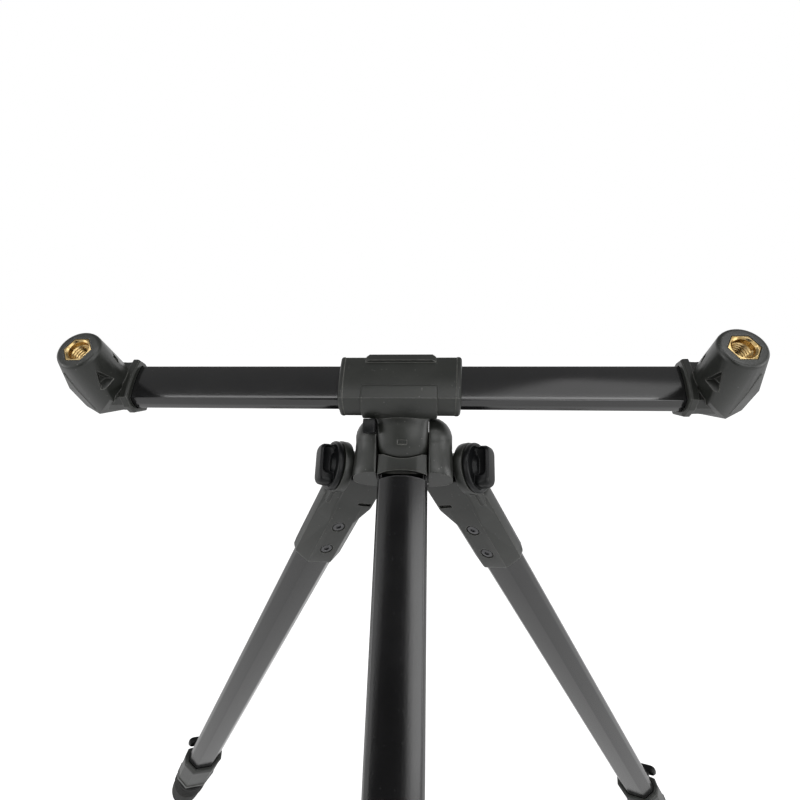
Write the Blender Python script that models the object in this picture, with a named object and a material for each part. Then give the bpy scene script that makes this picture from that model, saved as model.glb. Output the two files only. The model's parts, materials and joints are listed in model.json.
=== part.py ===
"""Fishing-rod tripod: crossbar head with two elbow cups on a hub with three legs.

All sizes are in metres. +Z is up, the crossbar runs along X, the front leg
points to -Y. The pieces are modelled round the hub's reference point and are
then lifted so that the feet stand on Z = 0 and the whole is centred.
"""
import math

import bmesh
import bpy
from mathutils import Matrix, Vector

MM = 0.001

# Fit between pieces that touch or slide
GAP = 0.3 * MM

# Bow-shaped tube, the same for the crossbar and the upper legs
TUBE_WIDTH = 25.0 * MM
TUBE_CROWN = 1.0 * MM
TUBE_WALL = 1.5 * MM
CREASE_SPAN = 0.447
CREASE_RISE = 0.125
SIDE_SPAN = 0.485
SIDE_DROP = 0.15
FLAT_SPAN = 0.245
FLAT_DROP = 0.40
CROWN_STEPS = 6

# Legs
LEG_TILT = math.radians(31.8)
SIDE_AZIMUTH = math.radians(30.0)
SIDE_PIVOT = Vector((25.9, 14.7, -17.9)) * MM
FRONT_AXIS = Vector((0.0, 2.1, -1.5)) * MM
LEG_REACH = 430.0 * MM
UPPER_END = LEG_REACH - 45.0 * MM
LOWER_WALL = 1.2 * MM
LOWER_LENGTH = 350.0 * MM
LOWER_INTO_FOOT = 18.0 * MM

# Foot
FOOT_RADIUS = 13.0 * MM
FOOT_NECK_RADIUS = 14.0 * MM
FOOT_HEIGHT = 34.0 * MM

# Side bracket
BRACKET_WALL = 2.0 * MM
BRACKET_TOP = 13.2 * MM
BRACKET_END = 66.0 * MM
BRACKET_SOLID = 10.0 * MM
HOOD_TOP = -3.0 * MM
HOOD_INWARD = 9.0 * MM
BOSS_RADIUS = 13.6 * MM
BOSS_IN = 7.9 * MM
BOSS_OUT = 13.0 * MM
SLOT_AT = Vector((5.9, 0.0, 18.4)) * MM
SLOT_SIZE = Vector((7.6, 2.4, 1.7)) * MM
SCREW_SPOTS = (33.5 * MM, 52.4 * MM)
SCREW_RADIUS = 3.4 * MM
SCREW_DEPTH = 1.3 * MM
SCREW_HEX = 1.1 * MM

# Side hinge
HOOD_ROOM = 16.0 * MM
LUG_RADIUS = 9.4 * MM
LUG_IN = -12.0 * MM
TRUNNION_RADIUS = 4.0 * MM
TRUNNION_REACH = 2.3 * MM

# Wing knob
FLANGE_RADIUS = 13.1 * MM
FLANGE_THICK = 3.0 * MM
WING_REACH = 9.8 * MM
WING_TURN = math.radians(31.0)
WING_HALF = 10.8 * MM
WING_THICK = 4.6 * MM
STUB_RADIUS = 3.4 * MM
STUB_LENGTH = 2.2 * MM
FINGER_RADIUS = 16.0 * MM
FINGER_DEPTH = 2.2 * MM

# Hub
HEAD_PIVOT = Vector((0.0, 8.0, 2.0)) * MM
EAR_RADIUS = 10.7 * MM
EAR_IN = 13.0 * MM
HUB_HALF = 25.0 * MM
EAR_ROUND = 8.5 * MM
SKIRT = ((12.9, -8.5, -11.5), (24.5, -3.0, -18.0), (12.9, 1.0, -23.5))
AXLE_RADIUS = 3.0 * MM
AXLE_HALF = 19.0 * MM

# Front bracket
PANEL_TOP = 5.0 * MM
PANEL_END = 16.4 * MM
PANEL_RAISE = 1.4 * MM
FRONT_TUBE_TOP = 13.8 * MM
FRONT_SHELL_END = 60.0 * MM
FRONT_SHELL_SPAN = 0.36

# Head: neck and knuckle
NECK_HALF = 12.5 * MM
NECK_DEPTH = 9.0 * MM
KNUCKLE_RADIUS = 15.0 * MM
KNUCKLE_ROUND = 4.5 * MM
KNUCKLE_ROOM = 0.7 * MM

# Crossbar and clamp, seen from the hub's reference point
BAR_CENTRE = Vector((-2.8, 7.0, 29.2)) * MM
BAR_LEAN = math.radians(49.3)
BAR_HALF = 140.0 * MM
CLAMP_X = -1.5 * MM
SLEEVE_HALF = 29.8 * MM
SLEEVE_WALL = 3.6 * MM
SLEEVE_RISE = 0.8 * MM
STRAP_HALF = 18.6 * MM
STRAP_PROUD = 1.2 * MM
STRAP_LIP = 5.8 * MM
RIB_HALF = 17.8 * MM
RIB_PROUD = 1.2 * MM
RIB_LIP = 7.6 * MM

# End caps
CUP_LEAN = math.radians(37.4)
CUP_AT = BAR_HALF + 6.8 * MM
CUP_HEIGHT = 34.0 * MM
CUP_FACE_RADIUS = 10.3 * MM
CUP_ROUND = 1.5 * MM
ELBOW_INNER = 6.4 * MM
ELBOW_CREASE = 8.2 * MM
ELBOW_CORNER = 15.7 * MM
ELBOW_OUTER = 18.7 * MM
ELBOW_SHOULDER = 12.0 * MM
CAP_COLLAR_IN = CUP_AT - 11.8 * MM
CAP_COLLAR_WALL = 2.8 * MM
CAP_COLLAR_RISE = 0.6 * MM
RECESS_DEPTH = 3.0 * MM
RECESS_CORNERS = ((-13.2, 25.2, -7.4), (-7.9, 14.1, -7.2), (-15.4, 14.2, -4.4))
CAP_COLLAR_RAKE = 0.17

# Brass insert
INSERT_HEX = 6.7 * MM
INSERT_BORE = 4.1 * MM
INSERT_LENGTH = 16.0 * MM

# Head lock lever
LEVER_THICK = 6.0 * MM
LEVER_IN = 13.1 * MM
LEVER_RADIUS_IN = 12.4 * MM
LEVER_RADIUS_OUT = 19.0 * MM

# Leg lock collar and its thumb screw
COLLAR_WALL = 3.2 * MM
COLLAR_TOP = UPPER_END - 27.0 * MM
COLLAR_END = UPPER_END + 7.0 * MM
THUMB_BOSS_RADIUS = 5.6 * MM
THUMB_BOSS_HEIGHT = 5.0 * MM
THUMB_STUB_RADIUS = 3.0 * MM
THUMB_WING_HALF = 11.0 * MM
THUMB_WING_THICK = 4.0 * MM
THUMB_WING_HEIGHT = 12.0 * MM

ROUND_STEPS = 32

PLASTIC = ("moulded_plastic", (0.036, 0.038, 0.034, 1.0), 0.5, 0.0)
TUBE_BLACK = ("satin_black_tube", (0.018, 0.018, 0.019, 1.0), 0.38, 0.6)
KNOB_BLACK = ("knob_black", (0.012, 0.013, 0.015, 1.0), 0.35, 0.0)
BRASS = ("brass", (0.60, 0.40, 0.12, 1.0), 0.3, 1.0)
STEEL = ("dark_steel", (0.08, 0.08, 0.085, 1.0), 0.35, 1.0)
RUBBER = ("rubber", (0.02, 0.02, 0.02, 1.0), 0.8, 0.0)

MIRROR = Matrix.Scale(-1.0, 4, Vector((1.0, 0.0, 0.0)))


def leg_direction(azimuth):
    """Return the unit vector down a leg with the given azimuth from +X."""
    flat = math.sin(LEG_TILT)
    return Vector((flat * math.cos(azimuth), flat * math.sin(azimuth), -math.cos(LEG_TILT)))


def axes_frame(origin, axis_x, axis_y, axis_z):
    """Return the 4 x 4 matrix of a frame given by its origin and axes."""
    rows = [(axis_x[i], axis_y[i], axis_z[i], origin[i]) for i in range(3)]
    return Matrix(rows + [(0.0, 0.0, 0.0, 1.0)])


SIDE_DOWN = leg_direction(SIDE_AZIMUTH)
FRONT_DOWN = leg_direction(math.radians(-90.0))
FOLD_AXIS = FRONT_DOWN.cross(SIDE_DOWN).normalized()
SIDE_INWARD = -FOLD_AXIS
SIDE_CONVEX = SIDE_DOWN.cross(SIDE_INWARD)
FRONT_CONVEX = FRONT_DOWN.cross(Vector((1.0, 0.0, 0.0)))

FRONT_PIVOT_GAP = (FRONT_AXIS.z - SIDE_PIVOT.z) / math.cos(LEG_TILT)
FRONT_REACH = LEG_REACH + FRONT_PIVOT_GAP
FLOOR = SIDE_PIVOT.z - math.cos(LEG_TILT) * LEG_REACH - FOOT_RADIUS
FOOT_FRONT = FRONT_AXIS.y + FRONT_DOWN.y * FRONT_REACH - FOOT_RADIUS
FOOT_BACK = SIDE_PIVOT.y + SIDE_DOWN.y * LEG_REACH + FOOT_RADIUS
LIFT = Vector((0.0, -(FOOT_FRONT + FOOT_BACK) / 2.0, -FLOOR))

HUB_FRAME = Matrix.Translation(LIFT)
RIGHT_FRAME = HUB_FRAME @ axes_frame(SIDE_PIVOT, SIDE_INWARD, SIDE_CONVEX, SIDE_DOWN)
LEFT_FRAME = HUB_FRAME @ MIRROR @ axes_frame(SIDE_PIVOT, SIDE_INWARD, SIDE_CONVEX, SIDE_DOWN)
FRONT_FRAME = HUB_FRAME @ axes_frame(FRONT_AXIS, Vector((1.0, 0.0, 0.0)), FRONT_CONVEX, FRONT_DOWN)

BAR_NORMAL = Vector((0.0, -math.cos(BAR_LEAN), math.sin(BAR_LEAN)))
BAR_UP = Vector((0.0, math.sin(BAR_LEAN), math.cos(BAR_LEAN)))
BAR_FRAME = HUB_FRAME @ axes_frame(BAR_CENTRE, BAR_UP, BAR_NORMAL, Vector((1.0, 0.0, 0.0)))
CUP_AXIS = Vector((0.0, -math.cos(CUP_LEAN), math.sin(CUP_LEAN)))


def clear_scene():
    """Remove every object that the new file starts with."""
    for item in list(bpy.data.objects):
        bpy.data.objects.remove(item, do_unlink=True)


def material(finish):
    """Return the material of a finish, made once."""
    name, colour, rough, metal = finish
    found = bpy.data.materials.get(name)
    if found:
        return found
    made = bpy.data.materials.new(name)
    made.use_nodes = True
    shader = made.node_tree.nodes["Principled BSDF"]
    shader.inputs["Base Color"].default_value = colour
    shader.inputs["Roughness"].default_value = rough
    shader.inputs["Metallic"].default_value = metal
    made.diffuse_color = colour
    return made


def half_section(width):
    """Return the bow section of the tube as points (x, y), turning left."""
    crease = Vector((CREASE_SPAN * width, CREASE_RISE * width))
    points = [
        Vector((-FLAT_SPAN * width, -FLAT_DROP * width)),
        Vector((FLAT_SPAN * width, -FLAT_DROP * width)),
        Vector((SIDE_SPAN * width, -SIDE_DROP * width)),
        Vector((0.5 * width, 0.0)),
    ]
    for step in range(CROWN_STEPS + 1):
        place = 1.0 - 2.0 * step / CROWN_STEPS
        points.append(Vector((place * crease.x, crease.y + TUBE_CROWN * (1.0 - place * place))))
    points.append(Vector((-0.5 * width, 0.0)))
    points.append(Vector((-SIDE_SPAN * width, -SIDE_DROP * width)))
    return points


def grown(points, distance):
    """Return a convex outline moved outward by a distance, with mitred corners."""
    count = len(points)
    moved = []
    for index in range(count):
        before = (points[index] - points[index - 1]).normalized()
        after = (points[(index + 1) % count] - points[index]).normalized()
        out_before = Vector((before.y, -before.x))
        out_after = Vector((after.y, -after.x))
        middle = (out_before + out_after).normalized()
        moved.append(points[index] + middle * (distance / middle.dot(out_after)))
    return moved


def section(grow, rise=0.0):
    """Return the tube's section grown by a distance and raised along its normal."""
    return [point + Vector((0.0, rise)) for point in grown(half_section(TUBE_WIDTH), grow)]


def circle(radius, count=ROUND_STEPS):
    """Return a circle as points (x, y)."""
    turns = [2.0 * math.pi * step / count for step in range(count)]
    return [Vector((radius * math.cos(turn), radius * math.sin(turn))) for turn in turns]


def rounded_box(half_x, half_y, radius, steps=4):
    """Return a rectangle with round corners as points (x, y)."""
    points = []
    for corner, (side_x, side_y) in enumerate(((1, -1), (1, 1), (-1, 1), (-1, -1))):
        centre = Vector((side_x * (half_x - radius), side_y * (half_y - radius)))
        start = math.radians(-90.0 + 90.0 * corner)
        for step in range(steps + 1):
            turn = start + math.radians(90.0) * step / steps
            points.append(centre + radius * Vector((math.cos(turn), math.sin(turn))))
    return points


def lofted(rings, closed=False):
    """Return a mesh through rings of equal length, each a list of 3-D points."""
    mesh = bmesh.new()
    rows = [[mesh.verts.new(point) for point in ring] for ring in rings]
    pairs = list(zip(rows, rows[1:]))
    if closed:
        pairs.append((rows[-1], rows[0]))
    for low, high in pairs:
        count = len(low)
        for index in range(count):
            after = (index + 1) % count
            mesh.faces.new((low[index], low[after], high[after], high[index]))
    if not closed:
        mesh.faces.new(list(reversed(rows[0])))
        mesh.faces.new(rows[-1])
    bmesh.ops.recalc_face_normals(mesh, faces=mesh.faces)
    return mesh


def raised(points, height):
    """Return 2-D points as 3-D points at a height."""
    return [Vector((point.x, point.y, height)) for point in points]


def raked(points, height, slope):
    """Return an outline's points in space, on a plane that leans along X."""
    low = min(point.x for point in points)
    return [Vector((point.x, point.y, height + slope * (point.x - low))) for point in points]


def prism(points, low, high):
    """Return a prism of an outline between two heights."""
    return lofted([raised(points, low), raised(points, high)])


def pipe(outer, inner, low, high):
    """Return an open pipe between two heights."""
    rings = [raised(outer, low), raised(outer, high), raised(inner, high), raised(inner, low)]
    return lofted(rings, closed=True)


def turned(profile, count=ROUND_STEPS):
    """Return a solid turned round Z from a profile of (radius, height) off the axis."""
    mesh = bmesh.new()
    rows = [raised(circle(radius, count), height) for radius, height in profile]
    mesh.free()
    return lofted(rows)


def block(low, high):
    """Return a box between two corners."""
    outline = [Vector((low[0], low[1])), Vector((high[0], low[1]))]
    outline += [Vector((high[0], high[1])), Vector((low[0], high[1]))]
    return prism(outline, low[2], high[2])


def build(name, mesh, frame, finish, origin=None, smooth=30.0):
    """Make an object from a mesh in a local frame, with its origin at a world point."""
    mesh.transform(frame)
    if frame.determinant() < 0.0:
        bmesh.ops.reverse_faces(mesh, faces=mesh.faces)
    place = Vector(origin) if origin is not None else Vector((0.0, 0.0, 0.0))
    bmesh.ops.translate(mesh, vec=-place, verts=mesh.verts)
    data = bpy.data.meshes.new(name)
    mesh.to_mesh(data)
    mesh.free()
    data.polygons.foreach_set("use_smooth", [True] * len(data.polygons))
    data.set_sharp_from_angle(angle=math.radians(smooth))
    item = bpy.data.objects.new(name, data)
    item.location = place
    bpy.context.scene.collection.objects.link(item)
    if finish is not None:
        data.materials.append(material(finish))
    return item


def tool(name, mesh, frame):
    """Make a hidden object that only shapes another one."""
    item = build(name, mesh, frame, None)
    item.hide_render = True
    item.display_type = "WIRE"
    return item


def combine(item, other, operation):
    """Add an exact boolean to an object."""
    step = item.modifiers.new(operation.title() + " " + other.name, "BOOLEAN")
    step.operation = operation
    step.solver = "EXACT"
    step.object = other


def soften(item, width, segments=2, angle=40.0):
    """Add a bevel on the sharp edges of an object."""
    step = item.modifiers.new("Soft edges", "BEVEL")
    step.width = width
    step.segments = segments
    step.limit_method = "ANGLE"
    step.angle_limit = math.radians(angle)
    return step


def turn_frame(frame, origin, axis):
    """Return a frame with its Z along an axis of another frame's space."""
    turn = Vector((0.0, 0.0, 1.0)).rotation_difference(Vector(axis)).to_matrix().to_4x4()
    return frame @ Matrix.Translation(Vector(origin)) @ turn


def screw(name, frame, height, depth):
    """Make a countersunk screw whose head lies in a flat side that faces -Y."""
    seat = turn_frame(frame, (0.0, depth, height), (0.0, -1.0, 0.0))
    bottom = -SCREW_DEPTH
    neck = 0.45 * SCREW_RADIUS
    head = SCREW_RADIUS - GAP
    hexagon = [raised(circle(radius, 24), place) for radius, place in (
        (neck, bottom), (neck, bottom * 0.98), (head, -0.25 * MM), (head, 0.0))]
    socket = raised(circle(SCREW_HEX, 24), 0.0)
    floor = raised(circle(SCREW_HEX, 24), -0.7 * MM)
    return build(name, lofted(hexagon + [socket, floor]), seat, STEEL)


def screw_seat(name, frame, height, depth):
    """Make the tool that cuts a screw's seat."""
    seat = turn_frame(frame, (0.0, depth, height), (0.0, -1.0, 0.0))
    bottom = -SCREW_DEPTH - GAP
    neck = 0.45 * SCREW_RADIUS + GAP
    rings = [(neck, bottom), (SCREW_RADIUS, -0.25 * MM), (SCREW_RADIUS, 1.0 * MM)]
    return tool(name, lofted([raised(circle(radius, 24), place) for radius, place in rings]), seat)


def upper_tube(name, frame, top, end, origin=None):
    """Make the upper tube of a leg, open at both ends."""
    return build(name, pipe(section(0.0), section(-TUBE_WALL), top, end), frame, TUBE_BLACK, origin)


def lower_leg(side, frame, reach, shift, origin):
    """Make a leg's lower tube and foot, which slide together."""
    outer = section(-TUBE_WALL - GAP)
    inner = section(-TUBE_WALL - GAP - LOWER_WALL)
    end = reach - FOOT_HEIGHT + LOWER_INTO_FOOT
    build(side + "_lower_tube", pipe(outer, inner, end - LOWER_LENGTH, end), frame, TUBE_BLACK, origin)
    top = reach - FOOT_HEIGHT
    rings = [(FOOT_NECK_RADIUS - 1.0 * MM, top), (FOOT_NECK_RADIUS, top + 1.0 * MM),
             (FOOT_NECK_RADIUS, reach - 16.0 * MM), (FOOT_RADIUS, reach - 12.0 * MM)]
    for step in range(8):
        turn = math.radians(90.0) * step / 8.0
        rings.append((FOOT_RADIUS * math.cos(turn), reach + FOOT_RADIUS * math.sin(turn)))
    rings.append((0.1 * MM, reach + FOOT_RADIUS * 0.9999))
    foot = build(side + "_foot", turned(rings, 28), frame, RUBBER, origin)
    pocket = pipe_pocket(side, frame, outer, top)
    combine(foot, pocket, "DIFFERENCE")
    return shift


def pipe_pocket(side, frame, outline, top):
    """Make the tool that cuts the foot's pocket for the lower tube."""
    floor = top + LOWER_INTO_FOOT + GAP
    return tool(side + "_foot_pocket", prism(grown(outline, GAP), top - 2.0 * MM, floor), frame)


def lock_collar(side, frame, end_of_tube, top, end, origin):
    """Make the collar at the end of an upper tube, with the boss of its thumb screw."""
    outer = section(COLLAR_WALL)
    wide = section(GAP)
    narrow = section(-TUBE_WALL)
    step = end_of_tube + GAP
    rings = [raised(outer, top), raised(outer, end), raised(narrow, end), raised(narrow, step)]
    rings += [raised(wide, step), raised(wide, top)]
    collar = build(side + "_lock_collar", lofted(rings, closed=True), frame, PLASTIC, origin)
    crest = CREASE_RISE * TUBE_WIDTH + TUBE_CROWN + COLLAR_WALL
    spot = (0.0, crest, (top + end) / 2.0)
    seat = turn_frame(frame, spot, (0.0, 1.0, 0.0))
    bore = THUMB_STUB_RADIUS + GAP
    ring = pipe(circle(THUMB_BOSS_RADIUS), circle(bore), -1.5 * MM, THUMB_BOSS_HEIGHT)
    combine(collar, tool(side + "_thumb_boss", ring, seat), "UNION")
    return collar


def thumb_screw(side, frame, top, end):
    """Make the wing-headed thumb screw of a lock collar."""
    crest = CREASE_RISE * TUBE_WIDTH + TUBE_CROWN + COLLAR_WALL
    seat = turn_frame(frame, (0.0, crest, (top + end) / 2.0), (0.0, 1.0, 0.0))
    base = THUMB_BOSS_HEIGHT + GAP
    origin = seat @ Vector((0.0, 0.0, base))
    rings = [(THUMB_STUB_RADIUS, GAP), (THUMB_STUB_RADIUS, base), (THUMB_BOSS_RADIUS, base),
             (THUMB_BOSS_RADIUS, base + 2.5 * MM), (THUMB_BOSS_RADIUS - 1.0 * MM, base + 3.5 * MM)]
    name = side + "_thumb_screw"
    knob = build(name, turned(rings), seat, KNOB_BLACK, origin)
    wing = wing_body(base + 1.5 * MM, base + THUMB_WING_HEIGHT, THUMB_WING_HALF, THUMB_WING_THICK)
    combine(knob, tool(side + "_thumb_wing", wing, seat), "UNION")
    return origin


def wing_body(low, high, half, thick):
    """Return a rounded wing between two heights, broad along X."""
    rings = []
    for part, grow in ((0.0, -1.5), (0.25, -0.3), (0.6, 0.0), (0.9, -0.6), (1.0, -1.8)):
        outline = rounded_box(half + grow * MM, thick + 0.4 * grow * MM, 0.7 * thick, 3)
        rings.append(raised(outline, low + (high - low) * part))
    return lofted(rings)


def fold_knob(side, frame):
    """Make the wing knob that locks a side leg."""
    seat = turn_frame(frame, (-BOSS_OUT - GAP, 0.0, 0.0), (-1.0, 0.0, 0.0))
    origin = seat @ Vector((0.0, 0.0, 0.0))
    rings = [(STUB_RADIUS, -STUB_LENGTH), (STUB_RADIUS, 0.0), (FLANGE_RADIUS - 0.8 * MM, 0.0),
             (FLANGE_RADIUS, 0.8 * MM), (FLANGE_RADIUS, FLANGE_THICK - 1.0 * MM),
             (FLANGE_RADIUS - 1.0 * MM, FLANGE_THICK), (7.0 * MM, FLANGE_THICK + 1.2 * MM)]
    knob = build(side + "_fold_knob", turned(rings), seat, KNOB_BLACK, origin)
    along = wing_frame(seat)
    wing = wing_body(FLANGE_THICK - 2.0 * MM, WING_REACH, WING_HALF, WING_THICK)
    combine(knob, tool(side + "_knob_wing", wing, along), "UNION")
    for face, sign in (("upper", 1.0), ("lower", -1.0)):
        centre = (0.0, sign * (WING_THICK + FINGER_RADIUS - FINGER_DEPTH), WING_REACH * 0.62)
        ball = bmesh.new()
        bmesh.ops.create_uvsphere(ball, u_segments=20, v_segments=14, radius=FINGER_RADIUS)
        bmesh.ops.scale(ball, vec=(0.56, 1.0, 0.34), verts=ball.verts)
        bmesh.ops.translate(ball, vec=centre, verts=ball.verts)
        combine(knob, tool(side + "_finger_" + face, ball, along), "DIFFERENCE")
    return origin


def wing_frame(seat):
    """Return the knob's frame turned so that its wing's outer edge stands upright for the viewer."""
    axis_z = (seat.to_3x3() @ Vector((0.0, 0.0, 1.0))).normalized()
    upward = (Vector((0.0, 0.0, 1.0)) - axis_z * axis_z.z).normalized()
    behind = axis_z.cross(upward)
    if behind.y < 0.0:
        behind.negate()
    axis_x = math.cos(WING_TURN) * upward + math.sin(WING_TURN) * behind
    return axes_frame(seat.translation, axis_x, axis_z.cross(axis_x), axis_z)


def side_bracket(side, frame, origin):
    """Make a side leg's bracket: boss, shoulder and the shell round the tube."""
    outer = section(BRACKET_WALL)
    rings = [raised(grown(outer, -2.5 * MM), BRACKET_TOP), raised(outer, BRACKET_TOP + 3.0 * MM),
             raised(outer, BRACKET_END - 2.5 * MM), raised(section(BRACKET_WALL - 1.0 * MM), BRACKET_END)]
    bracket = build(side + "_bracket", lofted(rings), frame, PLASTIC, origin)
    disc = turn_frame(frame, (-BOSS_IN, 0.0, 0.0), (-1.0, 0.0, 0.0))
    thick = BOSS_OUT - BOSS_IN
    profile = [(BOSS_RADIUS - 1.0 * MM, 0.0), (BOSS_RADIUS, 1.0 * MM), (BOSS_RADIUS, thick - 0.8 * MM),
               (BOSS_RADIUS - 0.8 * MM, thick)]
    combine(bracket, tool(side + "_boss_disc", turned(profile), disc), "UNION")
    reach_y = CREASE_RISE * TUBE_WIDTH + BRACKET_WALL
    drop_y = -FLAT_DROP * TUBE_WIDTH - BRACKET_WALL
    cheek = block((-BOSS_OUT, 0.7 * drop_y, 0.0), (-BOSS_IN, reach_y, BRACKET_TOP + 6.0 * MM))
    combine(bracket, tool(side + "_boss_cheek", cheek, frame), "UNION")
    inner = LUG_RADIUS + GAP
    hood = block((-BOSS_IN - MM, drop_y, HOOD_TOP), (HOOD_INWARD, -0.3 * inner, BRACKET_TOP + 6.0 * MM))
    combine(bracket, tool(side + "_hood", hood, frame), "UNION")
    room = turned([(inner, -HOOD_INWARD - 10.0 * MM), (inner, 0.0)], 40)
    combine(bracket, tool(side + "_lug_room", room, disc), "DIFFERENCE")
    hole = turned([(TRUNNION_RADIUS + GAP, -1.0 * MM), (TRUNNION_RADIUS + GAP, thick + 1.0 * MM)])
    combine(bracket, tool(side + "_boss_hole", hole, disc), "DIFFERENCE")
    bore = prism(section(GAP), BRACKET_TOP + BRACKET_SOLID, BRACKET_END + 2.0 * MM)
    combine(bracket, tool(side + "_shell_bore", bore, frame), "DIFFERENCE")
    slot = block(SLOT_AT - SLOT_SIZE / 2.0, SLOT_AT + SLOT_SIZE / 2.0)
    sunk = Matrix.Translation((0.0, drop_y, 0.0))
    combine(bracket, tool(side + "_slot_tool", slot, frame @ sunk), "DIFFERENCE")
    for order, height in zip(("upper", "lower"), SCREW_SPOTS):
        seat = screw_seat(side + "_seat_" + order, frame, height, drop_y)
        combine(bracket, seat, "DIFFERENCE")
        screw(side + "_screw_" + order, frame, height, drop_y).location = (0.0, 0.0, 0.0)
    return bracket


def side_leg(side, frame):
    """Make a whole side leg with its bracket, tubes, collar and knobs."""
    pivot = frame.translation.copy()
    side_bracket(side, frame, pivot)
    upper_tube(side + "_upper_tube", frame, BRACKET_TOP + BRACKET_SOLID + GAP, UPPER_END, pivot)
    lock_collar(side, frame, UPPER_END, COLLAR_TOP, COLLAR_END, pivot)
    lower_leg(side, frame, LEG_REACH, 0.0, pivot)
    fold_knob(side, frame)
    thumb_screw(side, frame, COLLAR_TOP, COLLAR_END)


def front_leg():
    """Make the front leg, which is fixed to the hub by its bracket."""
    shift = FRONT_PIVOT_GAP
    frame = FRONT_FRAME
    end = UPPER_END + shift
    upper_tube("front_upper_tube", frame, FRONT_TUBE_TOP + GAP, end)
    lock_collar("front", frame, end, COLLAR_TOP + shift, COLLAR_END + shift, None)
    lower_leg("front", frame, FRONT_REACH, shift, None)
    thumb_screw("front", frame, COLLAR_TOP + shift, COLLAR_END + shift)
    front_bracket()


def front_outline():
    """Return the outline of the front bracket, seen along the front leg."""
    crest = CREASE_RISE * TUBE_WIDTH + TUBE_CROWN + PANEL_RAISE
    width = 0.5 * TUBE_WIDTH - GAP
    back = -FLAT_DROP * TUBE_WIDTH - BRACKET_WALL
    return [Vector((-width, back + 4.0 * MM)), Vector((-width + 5.0 * MM, back)),
            Vector((width - 5.0 * MM, back)), Vector((width, back + 4.0 * MM)),
            Vector((width, crest - 1.2 * MM)), Vector((0.6 * width, crest)),
            Vector((-0.6 * width, crest)), Vector((-width, crest - 1.2 * MM))]


def front_bracket():
    """Make the front bracket: the panel over the tube's top and the shell behind it."""
    frame = FRONT_FRAME
    back = -FLAT_DROP * TUBE_WIDTH - BRACKET_WALL
    bracket = build("front_bracket", prism(front_outline(), PANEL_TOP, PANEL_END), frame, PLASTIC)
    half = FRONT_SHELL_SPAN * TUBE_WIDTH
    shell = block((-half, back, PANEL_END - 1.0 * MM), (half, back + 4.0 * MM, FRONT_SHELL_END))
    combine(bracket, tool("front_shell", shell, frame), "UNION")
    bore = prism(section(GAP), FRONT_TUBE_TOP, FRONT_SHELL_END + 2.0 * MM)
    combine(bracket, tool("front_bore", bore, frame), "DIFFERENCE")
    along = turn_frame(HUB_FRAME, HEAD_PIVOT, (1.0, 0.0, 0.0))
    room = KNUCKLE_RADIUS + KNUCKLE_ROOM
    dip = turned([(room, -HUB_HALF), (room, HUB_HALF)], 48)
    combine(bracket, tool("front_dip", dip, along), "DIFFERENCE")
    for order, height in zip(("upper", "lower"), SCREW_SPOTS):
        place = height - 12.0 * MM
        combine(bracket, screw_seat("front_seat_" + order, frame, place, back), "DIFFERENCE")
        screw("front_screw_" + order, frame, place, back)


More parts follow.
